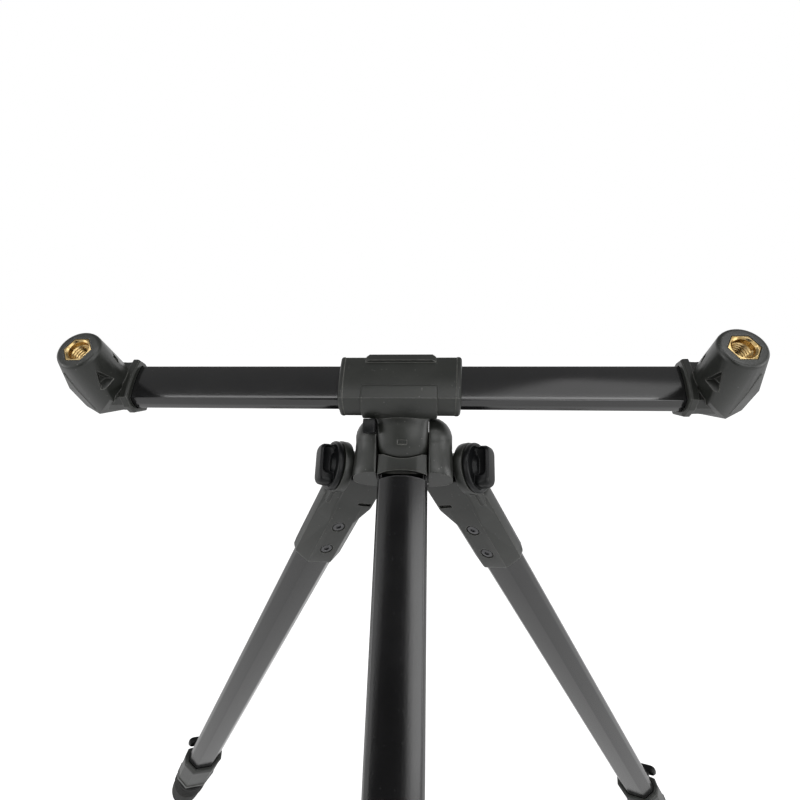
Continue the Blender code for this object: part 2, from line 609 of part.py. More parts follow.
def hub():
    """Make the hub: two eared cheeks, the web between them and the side lugs."""
    pivot = HEAD_PIVOT
    arc = [math.radians(-20.0 + 200.0 * step / 14.0) for step in range(15)]
    ear = [Vector((EAR_RADIUS * math.cos(turn), EAR_RADIUS * math.sin(turn))) for turn in arc]
    lower = [Vector((-15.5 * MM, -9.0 * MM)), Vector((-17.0 * MM, -16.0 * MM)),
             Vector((-12.0 * MM, -23.0 * MM)), Vector((6.0 * MM, -23.0 * MM)), Vector((13.5 * MM, -14.0 * MM))]
    outline = ear + lower
    side_view = axes_frame(pivot, Vector((0.0, 1.0, 0.0)), Vector((0.0, 0.0, 1.0)), Vector((1.0, 0.0, 0.0)))
    cheeks = []
    for side, mirror in (("right", Matrix.Identity(4)), ("left", MIRROR)):
        mesh = prism(outline, EAR_IN, HUB_HALF)
        top = [edge for edge in mesh.edges if all(vert.co.z > HUB_HALF - GAP and vert.co.y > -0.5 * EAR_RADIUS
                                                  for vert in edge.verts)]
        bmesh.ops.bevel(mesh, geom=top, offset=EAR_ROUND, offset_type="OFFSET", segments=5,
                        profile=0.5, affect="EDGES", clamp_overlap=True)
        frame = HUB_FRAME @ mirror @ side_view
        if side == "right":
            body = build("hub", mesh, frame, PLASTIC)
        else:
            cheeks.append(tool("hub_left_cheek", mesh, frame))
    room = KNUCKLE_RADIUS + 2.0 * KNUCKLE_ROOM
    web = [Vector((room * math.cos(turn), room * math.sin(turn)))
           for turn in (math.radians(step) for step in (-72.0, -58.0, -44.0, -31.0, -18.0))]
    web += [Vector((19.0 * MM, -7.0 * MM)), Vector((15.5 * MM, -15.0 * MM)), Vector((6.5 * MM, -22.5 * MM)),
            Vector((0.5 * MM, -22.5 * MM)), Vector((-1.0 * MM, -19.0 * MM))]
    half = EAR_IN + 2.0 * MM
    cheeks.append(tool("hub_web", prism(list(reversed(web)), -half, half), HUB_FRAME @ side_view))
    for piece in cheeks:
        combine(body, piece, "UNION")
    for side, mirror in (("right", Matrix.Identity(4)), ("left", MIRROR)):
        corners = [Vector(point) * MM for point in SKIRT]
        normal = (corners[1] - corners[0]).cross(corners[2] - corners[0]).normalized()
        if normal.y > 0.0:
            normal.negate()
        across = (corners[1] - corners[0]).normalized()
        skirt = HUB_FRAME @ mirror @ axes_frame(corners[0], across, normal.cross(across), normal)
        far = 60.0 * MM
        combine(body, tool("hub_skirt_" + side, block((-far, -far, 0.0), (far, far, far)), skirt), "DIFFERENCE")
    face = BOSS_IN - GAP
    for side, base in (("right", RIGHT_FRAME), ("left", LEFT_FRAME)):
        seat = turn_frame(base, (0.0, 0.0, 0.0), (-1.0, 0.0, 0.0))
        room = BOSS_RADIUS + 2.0 * GAP
        recess = turned([(room, face), (room, BOSS_OUT + FLANGE_THICK)], 40)
        combine(body, tool("hub_recess_" + side, recess, seat), "DIFFERENCE")
        groove = turned([(HOOD_ROOM, -HOOD_INWARD - 2.0 * GAP), (HOOD_ROOM, face + MM)])
        sweep = tool("hub_groove_" + side, groove, seat)
        front = block((-BOSS_OUT, 0.0, -20.0 * MM), (BOSS_OUT + HOOD_INWARD, 20.0 * MM, 20.0 * MM))
        combine(sweep, tool("hub_groove_limit_" + side, front, base), "DIFFERENCE")
        combine(body, sweep, "DIFFERENCE")
        rings = [(LUG_RADIUS, LUG_IN), (LUG_RADIUS, face), (TRUNNION_RADIUS, face),
                 (TRUNNION_RADIUS, face + TRUNNION_REACH)]
        combine(body, tool("hub_lug_" + side, turned(rings), seat), "UNION")
    room = prism(grown(front_outline(), GAP), PANEL_TOP - GAP, FRONT_SHELL_END)
    combine(body, tool("hub_front_room", room, FRONT_FRAME), "DIFFERENCE")
    axle = turned([(AXLE_RADIUS + GAP, -AXLE_HALF - GAP), (AXLE_RADIUS + GAP, AXLE_HALF + GAP)])
    along = turn_frame(HUB_FRAME, pivot, (1.0, 0.0, 0.0))
    combine(body, tool("hub_axle_bore", axle, along), "DIFFERENCE")
    pin = turned([(AXLE_RADIUS, -AXLE_HALF), (AXLE_RADIUS, AXLE_HALF)])
    build("head_axle", pin, along, STEEL)


def head_neck():
    """Make the neck: knuckle, column and the strap round the clamp sleeve."""
    pivot = HUB_FRAME @ HEAD_PIVOT
    along = turn_frame(HUB_FRAME, HEAD_PIVOT, (1.0, 0.0, 0.0))
    inner = AXLE_RADIUS + GAP
    steps = [(KNUCKLE_RADIUS - KNUCKLE_ROUND * (1.0 - math.sin(math.radians(turn))),
              NECK_HALF - KNUCKLE_ROUND * (1.0 - math.cos(math.radians(turn))))
             for turn in (0.0, 22.5, 45.0, 67.5, 90.0)]
    left = [(radius, -place) for radius, place in steps]
    rows = [(inner, -NECK_HALF)] + left + [(radius, place) for radius, place in reversed(steps)]
    rows.append((inner, NECK_HALF))
    rings = [raised(circle(radius), place) for radius, place in rows]
    neck = build("head_neck", lofted(rings, closed=True), along, PLASTIC, pivot)
    column = []
    base = HEAD_PIVOT.z
    for height, half, depth in ((4.0, 0.0, 0.0), (8.0, 0.3, 0.0), (13.5, 0.3, 0.5), (17.0, 0.5, 1.5)):
        outline = rounded_box(NECK_HALF + half * MM - 0.6 * MM, NECK_DEPTH + depth * MM, 6.0 * MM)
        column.append(raised(outline, base + height * MM))
    place = HUB_FRAME @ Matrix.Translation((0.0, HEAD_PIVOT.y, 0.0))
    column_tool = tool("neck_column", lofted(column), place)
    hole = tool("neck_column_bore", turned([(inner + 0.2 * MM, -NECK_HALF - MM),
                                            (inner + 0.2 * MM, NECK_HALF + MM)]), along)
    strap_outer = section(SLEEVE_WALL + STRAP_PROUD, SLEEVE_RISE)
    offset = CLAMP_X - BAR_CENTRE.x
    strap = build("head_strap", prism(strap_outer, offset - STRAP_HALF, offset + STRAP_HALF),
                  BAR_FRAME, None)
    strap.hide_render = True
    strap.display_type = "WIRE"
    far = 40.0 * MM
    reach = STRAP_HALF + 5.0 * MM
    cut = block((-STRAP_LIP, -FLAT_DROP * TUBE_WIDTH, offset - reach), (far, far, offset + reach))
    combine(strap, tool("strap_cut", cut, BAR_FRAME), "DIFFERENCE")
    combine(neck, column_tool, "UNION")
    combine(neck, strap, "UNION")
    hollow = prism(section(SLEEVE_WALL + GAP, SLEEVE_RISE), offset - reach, offset + reach)
    combine(neck, tool("strap_hollow", hollow, BAR_FRAME), "DIFFERENCE")
    combine(neck, hole, "DIFFERENCE")


def clamp_sleeve():
    """Make the sleeve round the crossbar, with its raised rib."""
    pivot = HUB_FRAME @ HEAD_PIVOT
    offset = CLAMP_X - BAR_CENTRE.x
    low = offset - SLEEVE_HALF
    high = offset + SLEEVE_HALF
    full = section(SLEEVE_WALL, SLEEVE_RISE)
    slim = section(SLEEVE_WALL - 1.0 * MM, SLEEVE_RISE)
    rings = [raised(slim, low), raised(full, low + 1.4 * MM), raised(full, high - 1.4 * MM), raised(slim, high)]
    sleeve = build("clamp_sleeve", lofted(rings), BAR_FRAME, PLASTIC, pivot)
    rib = tool("sleeve_rib", prism(section(SLEEVE_WALL + RIB_PROUD, SLEEVE_RISE), offset - RIB_HALF,
                                   offset + RIB_HALF), BAR_FRAME)
    far = 40.0 * MM
    cut = block((-far, -far, low), (RIB_LIP, far, high))
    combine(rib, tool("rib_cut", cut, BAR_FRAME), "DIFFERENCE")
    under = block((-far, -far, low), (far, -2.0 * MM, high))
    combine(rib, tool("rib_under_cut", under, BAR_FRAME), "DIFFERENCE")
    combine(sleeve, rib, "UNION")
    bore = prism(section(GAP), low - MM, high + MM)
    combine(sleeve, tool("sleeve_bore", bore, BAR_FRAME), "DIFFERENCE")


def crossbar():
    """Make the crossbar tube."""
    pivot = HUB_FRAME @ HEAD_PIVOT
    tube = pipe(section(0.0), section(-TUBE_WALL), -BAR_HALF, BAR_HALF)
    build("crossbar_tube", tube, BAR_FRAME, TUBE_BLACK, pivot)


def cup_frame(sign):
    """Return the frame of a cup, with Z along its axis from the crossbar's axis."""
    origin = BAR_CENTRE + Vector((sign * CUP_AT, 0.0, 0.0))
    side = Vector((1.0, 0.0, 0.0))
    return HUB_FRAME @ axes_frame(origin, side, CUP_AXIS.cross(side), CUP_AXIS)


def elbow(sign):
    """Return the elbow in the crossbar's frame: a hull from the cup's round face to its squared foot."""
    to_bar = BAR_FRAME.inverted() @ cup_frame(sign)
    face = CUP_FACE_RADIUS
    rings = [(face - CUP_ROUND, CUP_HEIGHT), (face - 0.4 * CUP_ROUND, CUP_HEIGHT - 0.35 * CUP_ROUND),
             (face, CUP_HEIGHT - CUP_ROUND)]
    points = [to_bar @ place for radius, height in rings for place in raised(circle(radius), height)]
    side = 0.5 * TUBE_WIDTH + CAP_COLLAR_WALL
    crown = CREASE_RISE * TUBE_WIDTH + CAP_COLLAR_WALL + CAP_COLLAR_RISE
    under = -SIDE_DROP * TUBE_WIDTH - 0.5 * CAP_COLLAR_WALL
    flat = -FLAT_DROP * TUBE_WIDTH - CAP_COLLAR_WALL + CAP_COLLAR_RISE
    foot = []
    for lean, reach in ((0.72, -0.2), (0.2, 0.86), (-0.26, 1.0), (-0.65, 0.85), (-1.0, 0.65)):
        foot.append((lean * side, crown, CUP_AT - reach * ELBOW_INNER))
    for lean, reach in ((1.0, ELBOW_CREASE), (0.82, ELBOW_CORNER), (0.4, ELBOW_OUTER)):
        for height in (ELBOW_SHOULDER, under + 0.45 * (reach - ELBOW_CREASE)):
            foot.append((lean * side, height, CUP_AT + reach))
            foot.append((-lean * side, height, CUP_AT + reach))
    foot += [(FLAT_SPAN * TUBE_WIDTH, flat, CUP_AT), (-FLAT_SPAN * TUBE_WIDTH, flat, CUP_AT)]
    points += [Vector((up, out, sign * along)) for up, out, along in foot]
    mesh = bmesh.new()
    corners = [mesh.verts.new(point) for point in points]
    made = bmesh.ops.convex_hull(mesh, input=corners, use_existing_faces=False)
    spare = [item for item in made["geom_interior"] + made["geom_unused"] if isinstance(item, bmesh.types.BMVert)]
    bmesh.ops.delete(mesh, geom=list(set(spare)), context="VERTS")
    bmesh.ops.recalc_face_normals(mesh, faces=mesh.faces)
    return mesh


def recess_rings(sign):
    """Return the rings of the three-cornered pit in the elbow's inner side."""
    corners = [Vector((up, out, sign * (CUP_AT / MM + along))) * MM for up, out, along in RECESS_CORNERS]
    middle = 0.2 * corners[0] + 0.4 * corners[1] + 0.4 * corners[2]
    inward = Vector((0.59, 0.09, sign * 0.80)).normalized()
    floor = [middle + 0.4 * (corner - middle) + RECESS_DEPTH * inward for corner in corners]
    mouth = [corner + 1.6 * (corner - low) for corner, low in zip(corners, floor)]
    return [mouth, floor]


def end_cap(side, sign):
    """Make an end cap: the collar on the crossbar and the elbow with its round cup."""
    pivot = HUB_FRAME @ HEAD_PIVOT
    frame = cup_frame(sign)
    cap = build(side + "_end_cap", elbow(sign), BAR_FRAME, PLASTIC, pivot)
    low = CAP_COLLAR_IN * sign
    high = CUP_AT * sign
    full = section(CAP_COLLAR_WALL, CAP_COLLAR_RISE)
    slim = section(CAP_COLLAR_WALL - 0.8 * MM, CAP_COLLAR_RISE)
    slope = sign * CAP_COLLAR_RAKE
    collar = lofted([raked(slim, low, slope), raked(full, low + sign * 1.0 * MM, slope),
                     raked(full, low + sign * 4.0 * MM, slope), raked(slim, low + sign * 5.0 * MM, slope),
                     raised(slim, high)])
    combine(cap, tool(side + "_cap_collar", collar, BAR_FRAME), "UNION")
    bore_end = (BAR_HALF + GAP) * sign
    bore = prism(section(GAP), min(low - sign * MM, bore_end), max(low - sign * MM, bore_end))
    combine(cap, tool(side + "_cap_bore", bore, BAR_FRAME), "DIFFERENCE")
    seat = CUP_HEIGHT - INSERT_LENGTH - GAP
    pocket = prism(circle(INSERT_HEX + GAP, 6), seat, CUP_HEIGHT + MM)
    combine(cap, tool(side + "_cap_pocket", pocket, frame), "DIFFERENCE")
    combine(cap, tool(side + "_cap_recess", lofted(recess_rings(sign)), BAR_FRAME), "DIFFERENCE")
    return frame


def brass_insert(side, frame):
    """Make a hexagonal threaded insert, flush with the face of its cup."""
    pivot = HUB_FRAME @ HEAD_PIVOT
    bottom = CUP_HEIGHT - INSERT_LENGTH
    insert = build(side + "_insert", prism(circle(INSERT_HEX, 6), bottom, CUP_HEIGHT), frame, BRASS, pivot)
    bore = turned([(INSERT_BORE, bottom - MM), (INSERT_BORE, CUP_HEIGHT - 0.7 * MM),
                   (INSERT_BORE + 0.9 * MM, CUP_HEIGHT + 0.2 * MM)], 24)
    combine(insert, tool(side + "_insert_bore", bore, frame), "DIFFERENCE")


def lock_lever():
    """Make the black lever that locks the head, left of the neck."""
    pivot = HUB_FRAME @ HEAD_PIVOT
    side_view = HUB_FRAME @ axes_frame(HEAD_PIVOT, Vector((0.0, 1.0, 0.0)), Vector((0.0, 0.0, 1.0)),
                                       Vector((1.0, 0.0, 0.0)))
    outline = []
    for degrees in (157.0, 149.0, 141.0, 133.0):
        turn = math.radians(degrees)
        outline.append(LEVER_RADIUS_IN * Vector((math.cos(turn), math.sin(turn))))
    for degrees in (136.0, 144.0, 152.0, 158.0):
        turn = math.radians(degrees)
        outline.append(LEVER_RADIUS_OUT * Vector((math.cos(turn), math.sin(turn))))
    wing = prism(outline, -LEVER_IN - LEVER_THICK, -LEVER_IN)
    build("head_lock_lever", wing, side_view, KNOB_BLACK, pivot)


def main():
    """Build every piece."""
    clear_scene()
    hub()
    front_leg()
    side_leg("left", LEFT_FRAME)
    side_leg("right", RIGHT_FRAME)
    head_neck()
    clamp_sleeve()
    crossbar()
    for side, sign in (("left", -1.0), ("right", 1.0)):
        brass_insert(side, end_cap(side, sign))
    lock_lever()


main()
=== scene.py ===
"""Looks of the fishing-rod tripod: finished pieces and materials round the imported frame.

Sizes are in metres and follow the solids. The crossbar runs along X, the front
leg points to -Y and Z is up. Every piece is modelled in the frame of the part
that carries it, and is then put in its place in its mesh.
"""

import json
import logging
import math
from dataclasses import dataclass
from enum import Enum
from typing import Callable, ClassVar, Iterable, Sequence

import bmesh
import bpy
from mathutils import Matrix, Vector


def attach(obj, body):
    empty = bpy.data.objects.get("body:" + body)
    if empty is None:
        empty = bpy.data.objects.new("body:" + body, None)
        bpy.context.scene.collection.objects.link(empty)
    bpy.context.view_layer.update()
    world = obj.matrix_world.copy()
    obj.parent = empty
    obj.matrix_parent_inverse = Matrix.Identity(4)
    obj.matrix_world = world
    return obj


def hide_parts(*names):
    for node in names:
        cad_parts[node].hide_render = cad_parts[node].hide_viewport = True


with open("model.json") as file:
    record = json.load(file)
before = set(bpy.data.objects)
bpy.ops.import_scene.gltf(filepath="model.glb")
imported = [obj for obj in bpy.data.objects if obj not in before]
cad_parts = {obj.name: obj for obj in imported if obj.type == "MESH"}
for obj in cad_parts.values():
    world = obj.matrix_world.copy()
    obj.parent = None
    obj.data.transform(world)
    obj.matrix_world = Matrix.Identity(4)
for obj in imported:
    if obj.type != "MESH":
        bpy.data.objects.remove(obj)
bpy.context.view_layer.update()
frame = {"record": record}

LOG = logging.getLogger("rod_tripod")
MM = 0.001
GAP = 0.3 * MM
MIRROR = Matrix.Scale(-1.0, 4, Vector((1.0, 0.0, 0.0)))
ORIGIN = Vector((0.0, 0.0, 0.0))
ACROSS = Vector((1.0, 0.0, 0.0))
BEHIND = Vector((0.0, 1.0, 0.0))
UP = Vector((0.0, 0.0, 1.0))
Outline = list[Vector]
Profile = Sequence[tuple[float, float]]


class Slot(Enum):
    """The record's material slots."""

    PLASTIC = "moulded_plastic"
    TUBE = "satin_black_tube"
    KNOB = "knob_black"
    BRASS = "brass"
    STEEL = "dark_steel"
    RUBBER = "rubber"


class Operation(Enum):
    """The ways in which one shape changes another."""

    JOIN = "UNION"
    CUT = "DIFFERENCE"
    KEEP = "INTERSECT"


class Side(Enum):
    """The two sides of the tripod, seen from the front."""

    LEFT = -1.0
    RIGHT = 1.0

    @property
    def word(self) -> str:
        """Return the side's name as the nodes have it."""
        return self.name.lower()


# Outlines, in the plane of a section


def circle(radius: float, count: int = 48) -> Outline:
    """Return a circle.

    Args:
        radius: its radius.
        count: how many points it has.

    Returns:
        The outline.
    """
    turns = [2.0 * math.pi * step / count for step in range(count)]
    return [Vector((radius * math.cos(turn), radius * math.sin(turn))) for turn in turns]


def arc(centre: Vector, radius: float, start: float, end: float, steps: int) -> Outline:
    """Return an arc between two angles in degrees.

    Args:
        centre: the arc's centre.
        radius: its radius.
        start: the first angle.
        end: the last angle.
        steps: how many steps it has.

    Returns:
        The arc's points.
    """
    turns = [math.radians(start + (end - start) * step / steps) for step in range(steps + 1)]
    return [centre + radius * Vector((math.cos(turn), math.sin(turn))) for turn in turns]


def round_box(half_x: float, half_y: float, radius: float, steps: int = 6) -> Outline:
    """Return a rectangle with round corners.

    Args:
        half_x: half its width.
        half_y: half its height.
        radius: the radius of its corners.
        steps: how many steps a corner has.

    Returns:
        The outline.
    """
    points = []
    for corner, (side_x, side_y) in enumerate(((1, -1), (1, 1), (-1, 1), (-1, -1))):
        centre = Vector((side_x * (half_x - radius), side_y * (half_y - radius)))
        points += arc(centre, radius, -90.0 + 90.0 * corner, 90.0 * corner, steps)
    return points


def offset(points: Outline, distances: Sequence[float]) -> Outline:
    """Return an outline with each point moved outward along its mitre.

    Args:
        points: the outline, turning left.
        distances: how far each point's sides move outward.

    Returns:
        The moved outline.
    """
    count = len(points)
    moved = []
    for index in range(count):
        before = (points[index] - points[index - 1]).normalized()
        after = (points[(index + 1) % count] - points[index]).normalized()
        out_after = Vector((after.y, -after.x))
        middle = (Vector((before.y, -before.x)) + out_after).normalized()
        moved.append(points[index] + middle * (distances[index] / max(middle.dot(out_after), 0.3)))
    return moved


@dataclass(frozen=True)
class BowSection:
    """The bow-shaped section that the crossbar and the legs share."""

    width: float = 25.0 * MM
    crown: float = 1.0 * MM
    wall: float = 1.5 * MM
    crease_span: float = 0.447
    crease_rise: float = 0.125
    side_span: float = 0.485
    side_drop: float = 0.15
    flat_span: float = 0.245
    flat_drop: float = 0.40
    crown_steps: int = 12

    def outline(self, grow: float = 0.0, rise: float = 0.0) -> Outline:
        """Return the section, grown by a distance and raised along its normal.

        Args:
            grow: how far the outline moves outward.
            rise: how far it moves along its normal.

        Returns:
            The outline.
        """
        width = self.width
        crease = Vector((self.crease_span * width, self.crease_rise * width))
        points = [Vector((-self.flat_span * width, -self.flat_drop * width)),
                  Vector((self.flat_span * width, -self.flat_drop * width)),
                  Vector((self.side_span * width, -self.side_drop * width)),
                  Vector((0.5 * width, 0.0))]
        for step in range(self.crown_steps + 1):
            place = 1.0 - 2.0 * step / self.crown_steps
            points.append(Vector((place * crease.x, crease.y + self.crown * (1.0 - place * place))))
        points += [Vector((-0.5 * width, 0.0)), Vector((-self.side_span * width, -self.side_drop * width))]
        lift = Vector((0.0, rise))
        return [point + lift for point in offset(points, [grow] * len(points))]


BOW = BowSection()


def at_height(points: Iterable[Vector], height: float) -> list[Vector]:
    """Return an outline's points in space, at one height."""
    return [Vector((point.x, point.y, height)) for point in points]


def raked(points: Iterable[Vector], height: float, slope: float) -> list[Vector]:
    """Return an outline's points in space, on a plane that leans.

    Args:
        points: the outline.
        height: the plane's height at the outline's lowest X.
        slope: how much it rises for each unit of X.

    Returns:
        The points.
    """
    points = list(points)
    low = min(point.x for point in points)
    return [Vector((point.x, point.y, height + slope * (point.x - low))) for point in points]


# Shapes, each a mesh under construction


class Shape:
    """A mesh that starts from a few vertices and is shaped with bmesh operators."""

    def __init__(self) -> None:
        """Start an empty mesh."""
        self.mesh = bmesh.new()

    @classmethod
    def slab(cls, outline: Outline, low: float, high: float, corner: float = 0.0) -> "Shape":
        """Return an outline extruded between two heights.

        Args:
            outline: the outline.
            low: the lower height.
            high: the upper height.
            corner: how far the outline's corners are rounded.

        Returns:
            The slab.
        """
        shape = cls()
        points = [shape.mesh.verts.new(point) for point in at_height(outline, low)]
        shape.mesh.faces.new(points)
        if corner > 0.0:
            sharp = [vert for vert in shape.mesh.verts if shape._turns(vert)]
            bmesh.ops.bevel(shape.mesh, geom=sharp, offset=corner, offset_type="OFFSET", segments=3,
                            profile=0.5, affect="VERTICES", clamp_overlap=True, material=-1)
        grown = bmesh.ops.extrude_face_region(shape.mesh, geom=list(shape.mesh.faces))
        moved = [item for item in grown["geom"] if isinstance(item, bmesh.types.BMVert)]
        bmesh.ops.translate(shape.mesh, vec=(0.0, 0.0, high - low), verts=moved)
        return shape.outward()

    @staticmethod
    def _turns(vert: bmesh.types.BMVert) -> bool:
        """Return whether an outline turns by more than 12 degrees at a vertex."""
        first, second = (edge.other_vert(vert).co - vert.co for edge in vert.link_edges)
        return math.pi - first.angle(second) > math.radians(12.0)

    @classmethod
    def block(cls, low: Sequence[float], high: Sequence[float]) -> "Shape":
        """Return a box between two corners."""
        shape = cls()
        made = bmesh.ops.create_cube(shape.mesh, size=1.0)["verts"]
        size = Vector(high) - Vector(low)
        bmesh.ops.scale(shape.mesh, vec=size, verts=made)
        bmesh.ops.translate(shape.mesh, vec=Vector(low) + 0.5 * size, verts=made)
        return shape

    @classmethod
    def _spun(cls, profile: Profile, steps: int, closed: bool) -> "Shape":
        """Return the surface that a profile of (radius, height) draws round Z.

        Args:
            profile: the profile.
            steps: how many steps one turn has.
            closed: whether the profile's last point joins its first.

        Returns:
            The surface.
        """
        shape = cls()
        points = [shape.mesh.verts.new((radius, 0.0, height)) for radius, height in profile]
        pairs = zip(points[-1:] + points, points) if closed else zip(points, points[1:])
        edges = [shape.mesh.edges.new(pair) for pair in pairs]
        bmesh.ops.spin(shape.mesh, geom=points + edges, cent=ORIGIN, axis=UP, angle=2.0 * math.pi,
                       steps=steps, use_merge=True)
        return shape

    @classmethod
    def turned(cls, profile: Profile, steps: int = 64) -> "Shape":
        """Return a solid spun round Z.

        Args:
            profile: radius and height of each point, from one end on the axis to the other.
            steps: how many steps the turn has.

        Returns:
            The solid, closed at both ends.
        """
        shape = cls._spun(profile, steps, False)
        bmesh.ops.remove_doubles(shape.mesh, verts=shape.mesh.verts, dist=1e-7)
        open_ends = [edge for edge in shape.mesh.edges if edge.is_boundary]
        if open_ends:
            bmesh.ops.holes_fill(shape.mesh, edges=open_ends, sides=0)
        return shape.outward()

    @classmethod
    def ring(cls, profile: Profile, steps: int = 64) -> "Shape":
        """Return a ring spun round Z from a closed profile of (radius, height)."""
        return cls._spun(profile, steps, True).outward()

    @classmethod
    def drum(cls, radius: float, low: float, high: float, steps: int = 64) -> "Shape":
        """Return a solid cylinder round Z, between two heights."""
        return cls.turned([(0.0, low), (radius, low), (radius, high), (0.0, high)], steps)

    @classmethod
    def through(cls, rings: Sequence[Sequence[Vector]], closed: bool = False) -> "Shape":
        """Return a shape bridged through rings of equal length.

        Args:
            rings: the rings in order, each a list of points in space.
            closed: whether the last ring joins the first, as in a pipe.

        Returns:
            The shape.
        """
        shape = cls()
        loops = []
        for ring in rings:
            points = [shape.mesh.verts.new(point) for point in ring]
            count = len(points)
            loops.append([shape.mesh.edges.new((points[index], points[(index + 1) % count]))
                          for index in range(count)])
            if not closed and ring in (rings[0], rings[-1]):
                shape.mesh.faces.new(points)
        pairs = list(zip(loops, loops[1:])) + ([(loops[-1], loops[0])] if closed else [])
        for low, high in pairs:
            bmesh.ops.bridge_loops(shape.mesh, edges=low + high)
        return shape.outward()

    @classmethod
    def hull(cls, points: Iterable[Vector]) -> "Shape":
        """Return the convex hull of points."""
        shape = cls()
        made = bmesh.ops.convex_hull(shape.mesh, input=[shape.mesh.verts.new(point) for point in points])
        inner = made["geom_interior"] + made["geom_unused"]
        spare = {item for item in inner if isinstance(item, bmesh.types.BMVert)}
        bmesh.ops.delete(shape.mesh, geom=list(spare), context="VERTS")
        bmesh.ops.dissolve_limit(shape.mesh, angle_limit=math.radians(0.5), verts=shape.mesh.verts,
                                 edges=shape.mesh.edges)
        return shape.outward()

    def outward(self) -> "Shape":
        """Turn every face outward."""
        bmesh.ops.recalc_face_normals(self.mesh, faces=self.mesh.faces)
        return self

    def placed(self, place: Matrix) -> "Shape":
        """Move the shape by a matrix, which may mirror it."""
        bmesh.ops.transform(self.mesh, matrix=place, verts=self.mesh.verts)
        if place.determinant() < 0.0:
            bmesh.ops.reverse_faces(self.mesh, faces=self.mesh.faces)
        return self

    def rounded(self, width: float, segments: int, where: Callable[[bmesh.types.BMEdge], bool]) -> "Shape":
        """Bevel the edges that a test names.

        Args:
            width: the bevel's width.
            segments: how many steps it has.
            where: returns whether an edge is one of them.

        Returns:
            This shape, bevelled.
        """
        edges = [edge for edge in self.mesh.edges if where(edge)]
        bmesh.ops.bevel(self.mesh, geom=edges, offset=width, offset_type="OFFSET", segments=segments,
                        profile=0.5, affect="EDGES", clamp_overlap=True, material=-1)
        return self

    def edged(self, width: float, segments: int = 3, angle: float = 35.0) -> "Shape":
        """Bevel every edge sharper than an angle in degrees."""
        limit = math.radians(angle)
        return self.rounded(width, segments, lambda edge: edge.is_manifold and edge.calc_face_angle() > limit)

    def sliced(self, point: Vector, normal: Vector) -> "Shape":
        """Cut away what lies beyond a plane and close the cut.

        Args:
            point: a point of the plane.
            normal: the plane's normal, towards what is cut away.

        Returns:
            This shape, cut.
        """
        everything = list(self.mesh.verts) + list(self.mesh.edges) + list(self.mesh.faces)
        bmesh.ops.bisect_plane(self.mesh, geom=everything, dist=1e-7, plane_co=point, plane_no=normal,
                               clear_outer=True)
        open_ends = [edge for edge in self.mesh.edges if edge.is_boundary]
        bmesh.ops.holes_fill(self.mesh, edges=open_ends, sides=0)
        return self.outward()

    def changed(self, steps: Sequence[tuple[Operation, "Shape"]]) -> "Shape":
        """Join and cut with other shapes, in order, by exact booleans.

        Args:
            steps: each operation and the shape that it uses up.

        Returns:
            This shape, changed.
        """
        for operation, other in steps:
            before = self.mesh.calc_volume()
            amount = other.mesh.calc_volume()
            items = [self._item(), other._item()]
            for careful in (False, True):
                self.mesh = self._boolean(items[0], items[1], operation, careful)
                after = self.mesh.calc_volume()
                lost = before - after
                sound = lost < 0.02 * before if operation is Operation.JOIN else -1e-12 < lost < 1.02 * amount
                if sound or operation is Operation.KEEP:
                    break
                LOG.info("a boolean is done again with care")
            for item in items:
                data = item.data
                bpy.data.objects.remove(item)
                bpy.data.meshes.remove(data)
            bmesh.ops.remove_doubles(self.mesh, verts=self.mesh.verts, dist=2e-6)
        return self

    @staticmethod
    def _boolean(item: bpy.types.Object, tool: bpy.types.Object, operation: Operation,
                 careful: bool) -> bmesh.types.BMesh:
        """Return the mesh of one boolean.

        Args:
            item: the object that is changed.
            tool: the object that changes it.
            operation: how it does so.
            careful: whether crossings inside each mesh are looked for as well.

        Returns:
            The new mesh.
        """
        item.modifiers.clear()
        step = item.modifiers.new(operation.name, "BOOLEAN")
        step.operation = operation.value
        step.solver = "EXACT"
        step.use_self = careful
        step.object = tool
        graph = bpy.context.evaluated_depsgraph_get()
        result = bpy.data.meshes.new_from_object(item.evaluated_get(graph))
        mesh = bmesh.new()
        mesh.from_mesh(result)
        bpy.data.meshes.remove(result)
        return mesh

    def data(self, name: str) -> bpy.types.Mesh:
        """Return the shape as mesh data, which uses the shape up."""
        data = bpy.data.meshes.new(name)
        self.mesh.to_mesh(data)
        self.mesh.free()
        return data

    def _item(self) -> bpy.types.Object:
        """Return a working object that holds the mesh."""
        item = bpy.data.objects.new("work", self.data("work"))
        bpy.context.scene.collection.objects.link(item)
        return item


def also(*shapes: Shape) -> list[tuple[Operation, Shape]]:
    """Return the steps that join shapes."""
    return [(Operation.JOIN, shape) for shape in shapes]


def less(*shapes: Shape) -> list[tuple[Operation, Shape]]:
    """Return the steps that cut shapes away."""
    return [(Operation.CUT, shape) for shape in shapes]


# Layout, read off the frame


def axes(origin: Vector, axis_x: Vector, axis_y: Vector, axis_z: Vector) -> Matrix:
    """Return the 4 x 4 matrix of a frame given by its origin and axes."""
    rows = [(axis_x[i], axis_y[i], axis_z[i], origin[i]) for i in range(3)]
    return Matrix(rows + [(0.0, 0.0, 0.0, 1.0)])


def facing(place: Matrix, origin: Sequence[float], axis: Sequence[float]) -> Matrix:
    """Return a frame whose Z lies along an axis of another frame's space."""
    turn = UP.rotation_difference(Vector(axis)).to_matrix().to_4x4()
    return place @ Matrix.Translation(Vector(origin)) @ turn


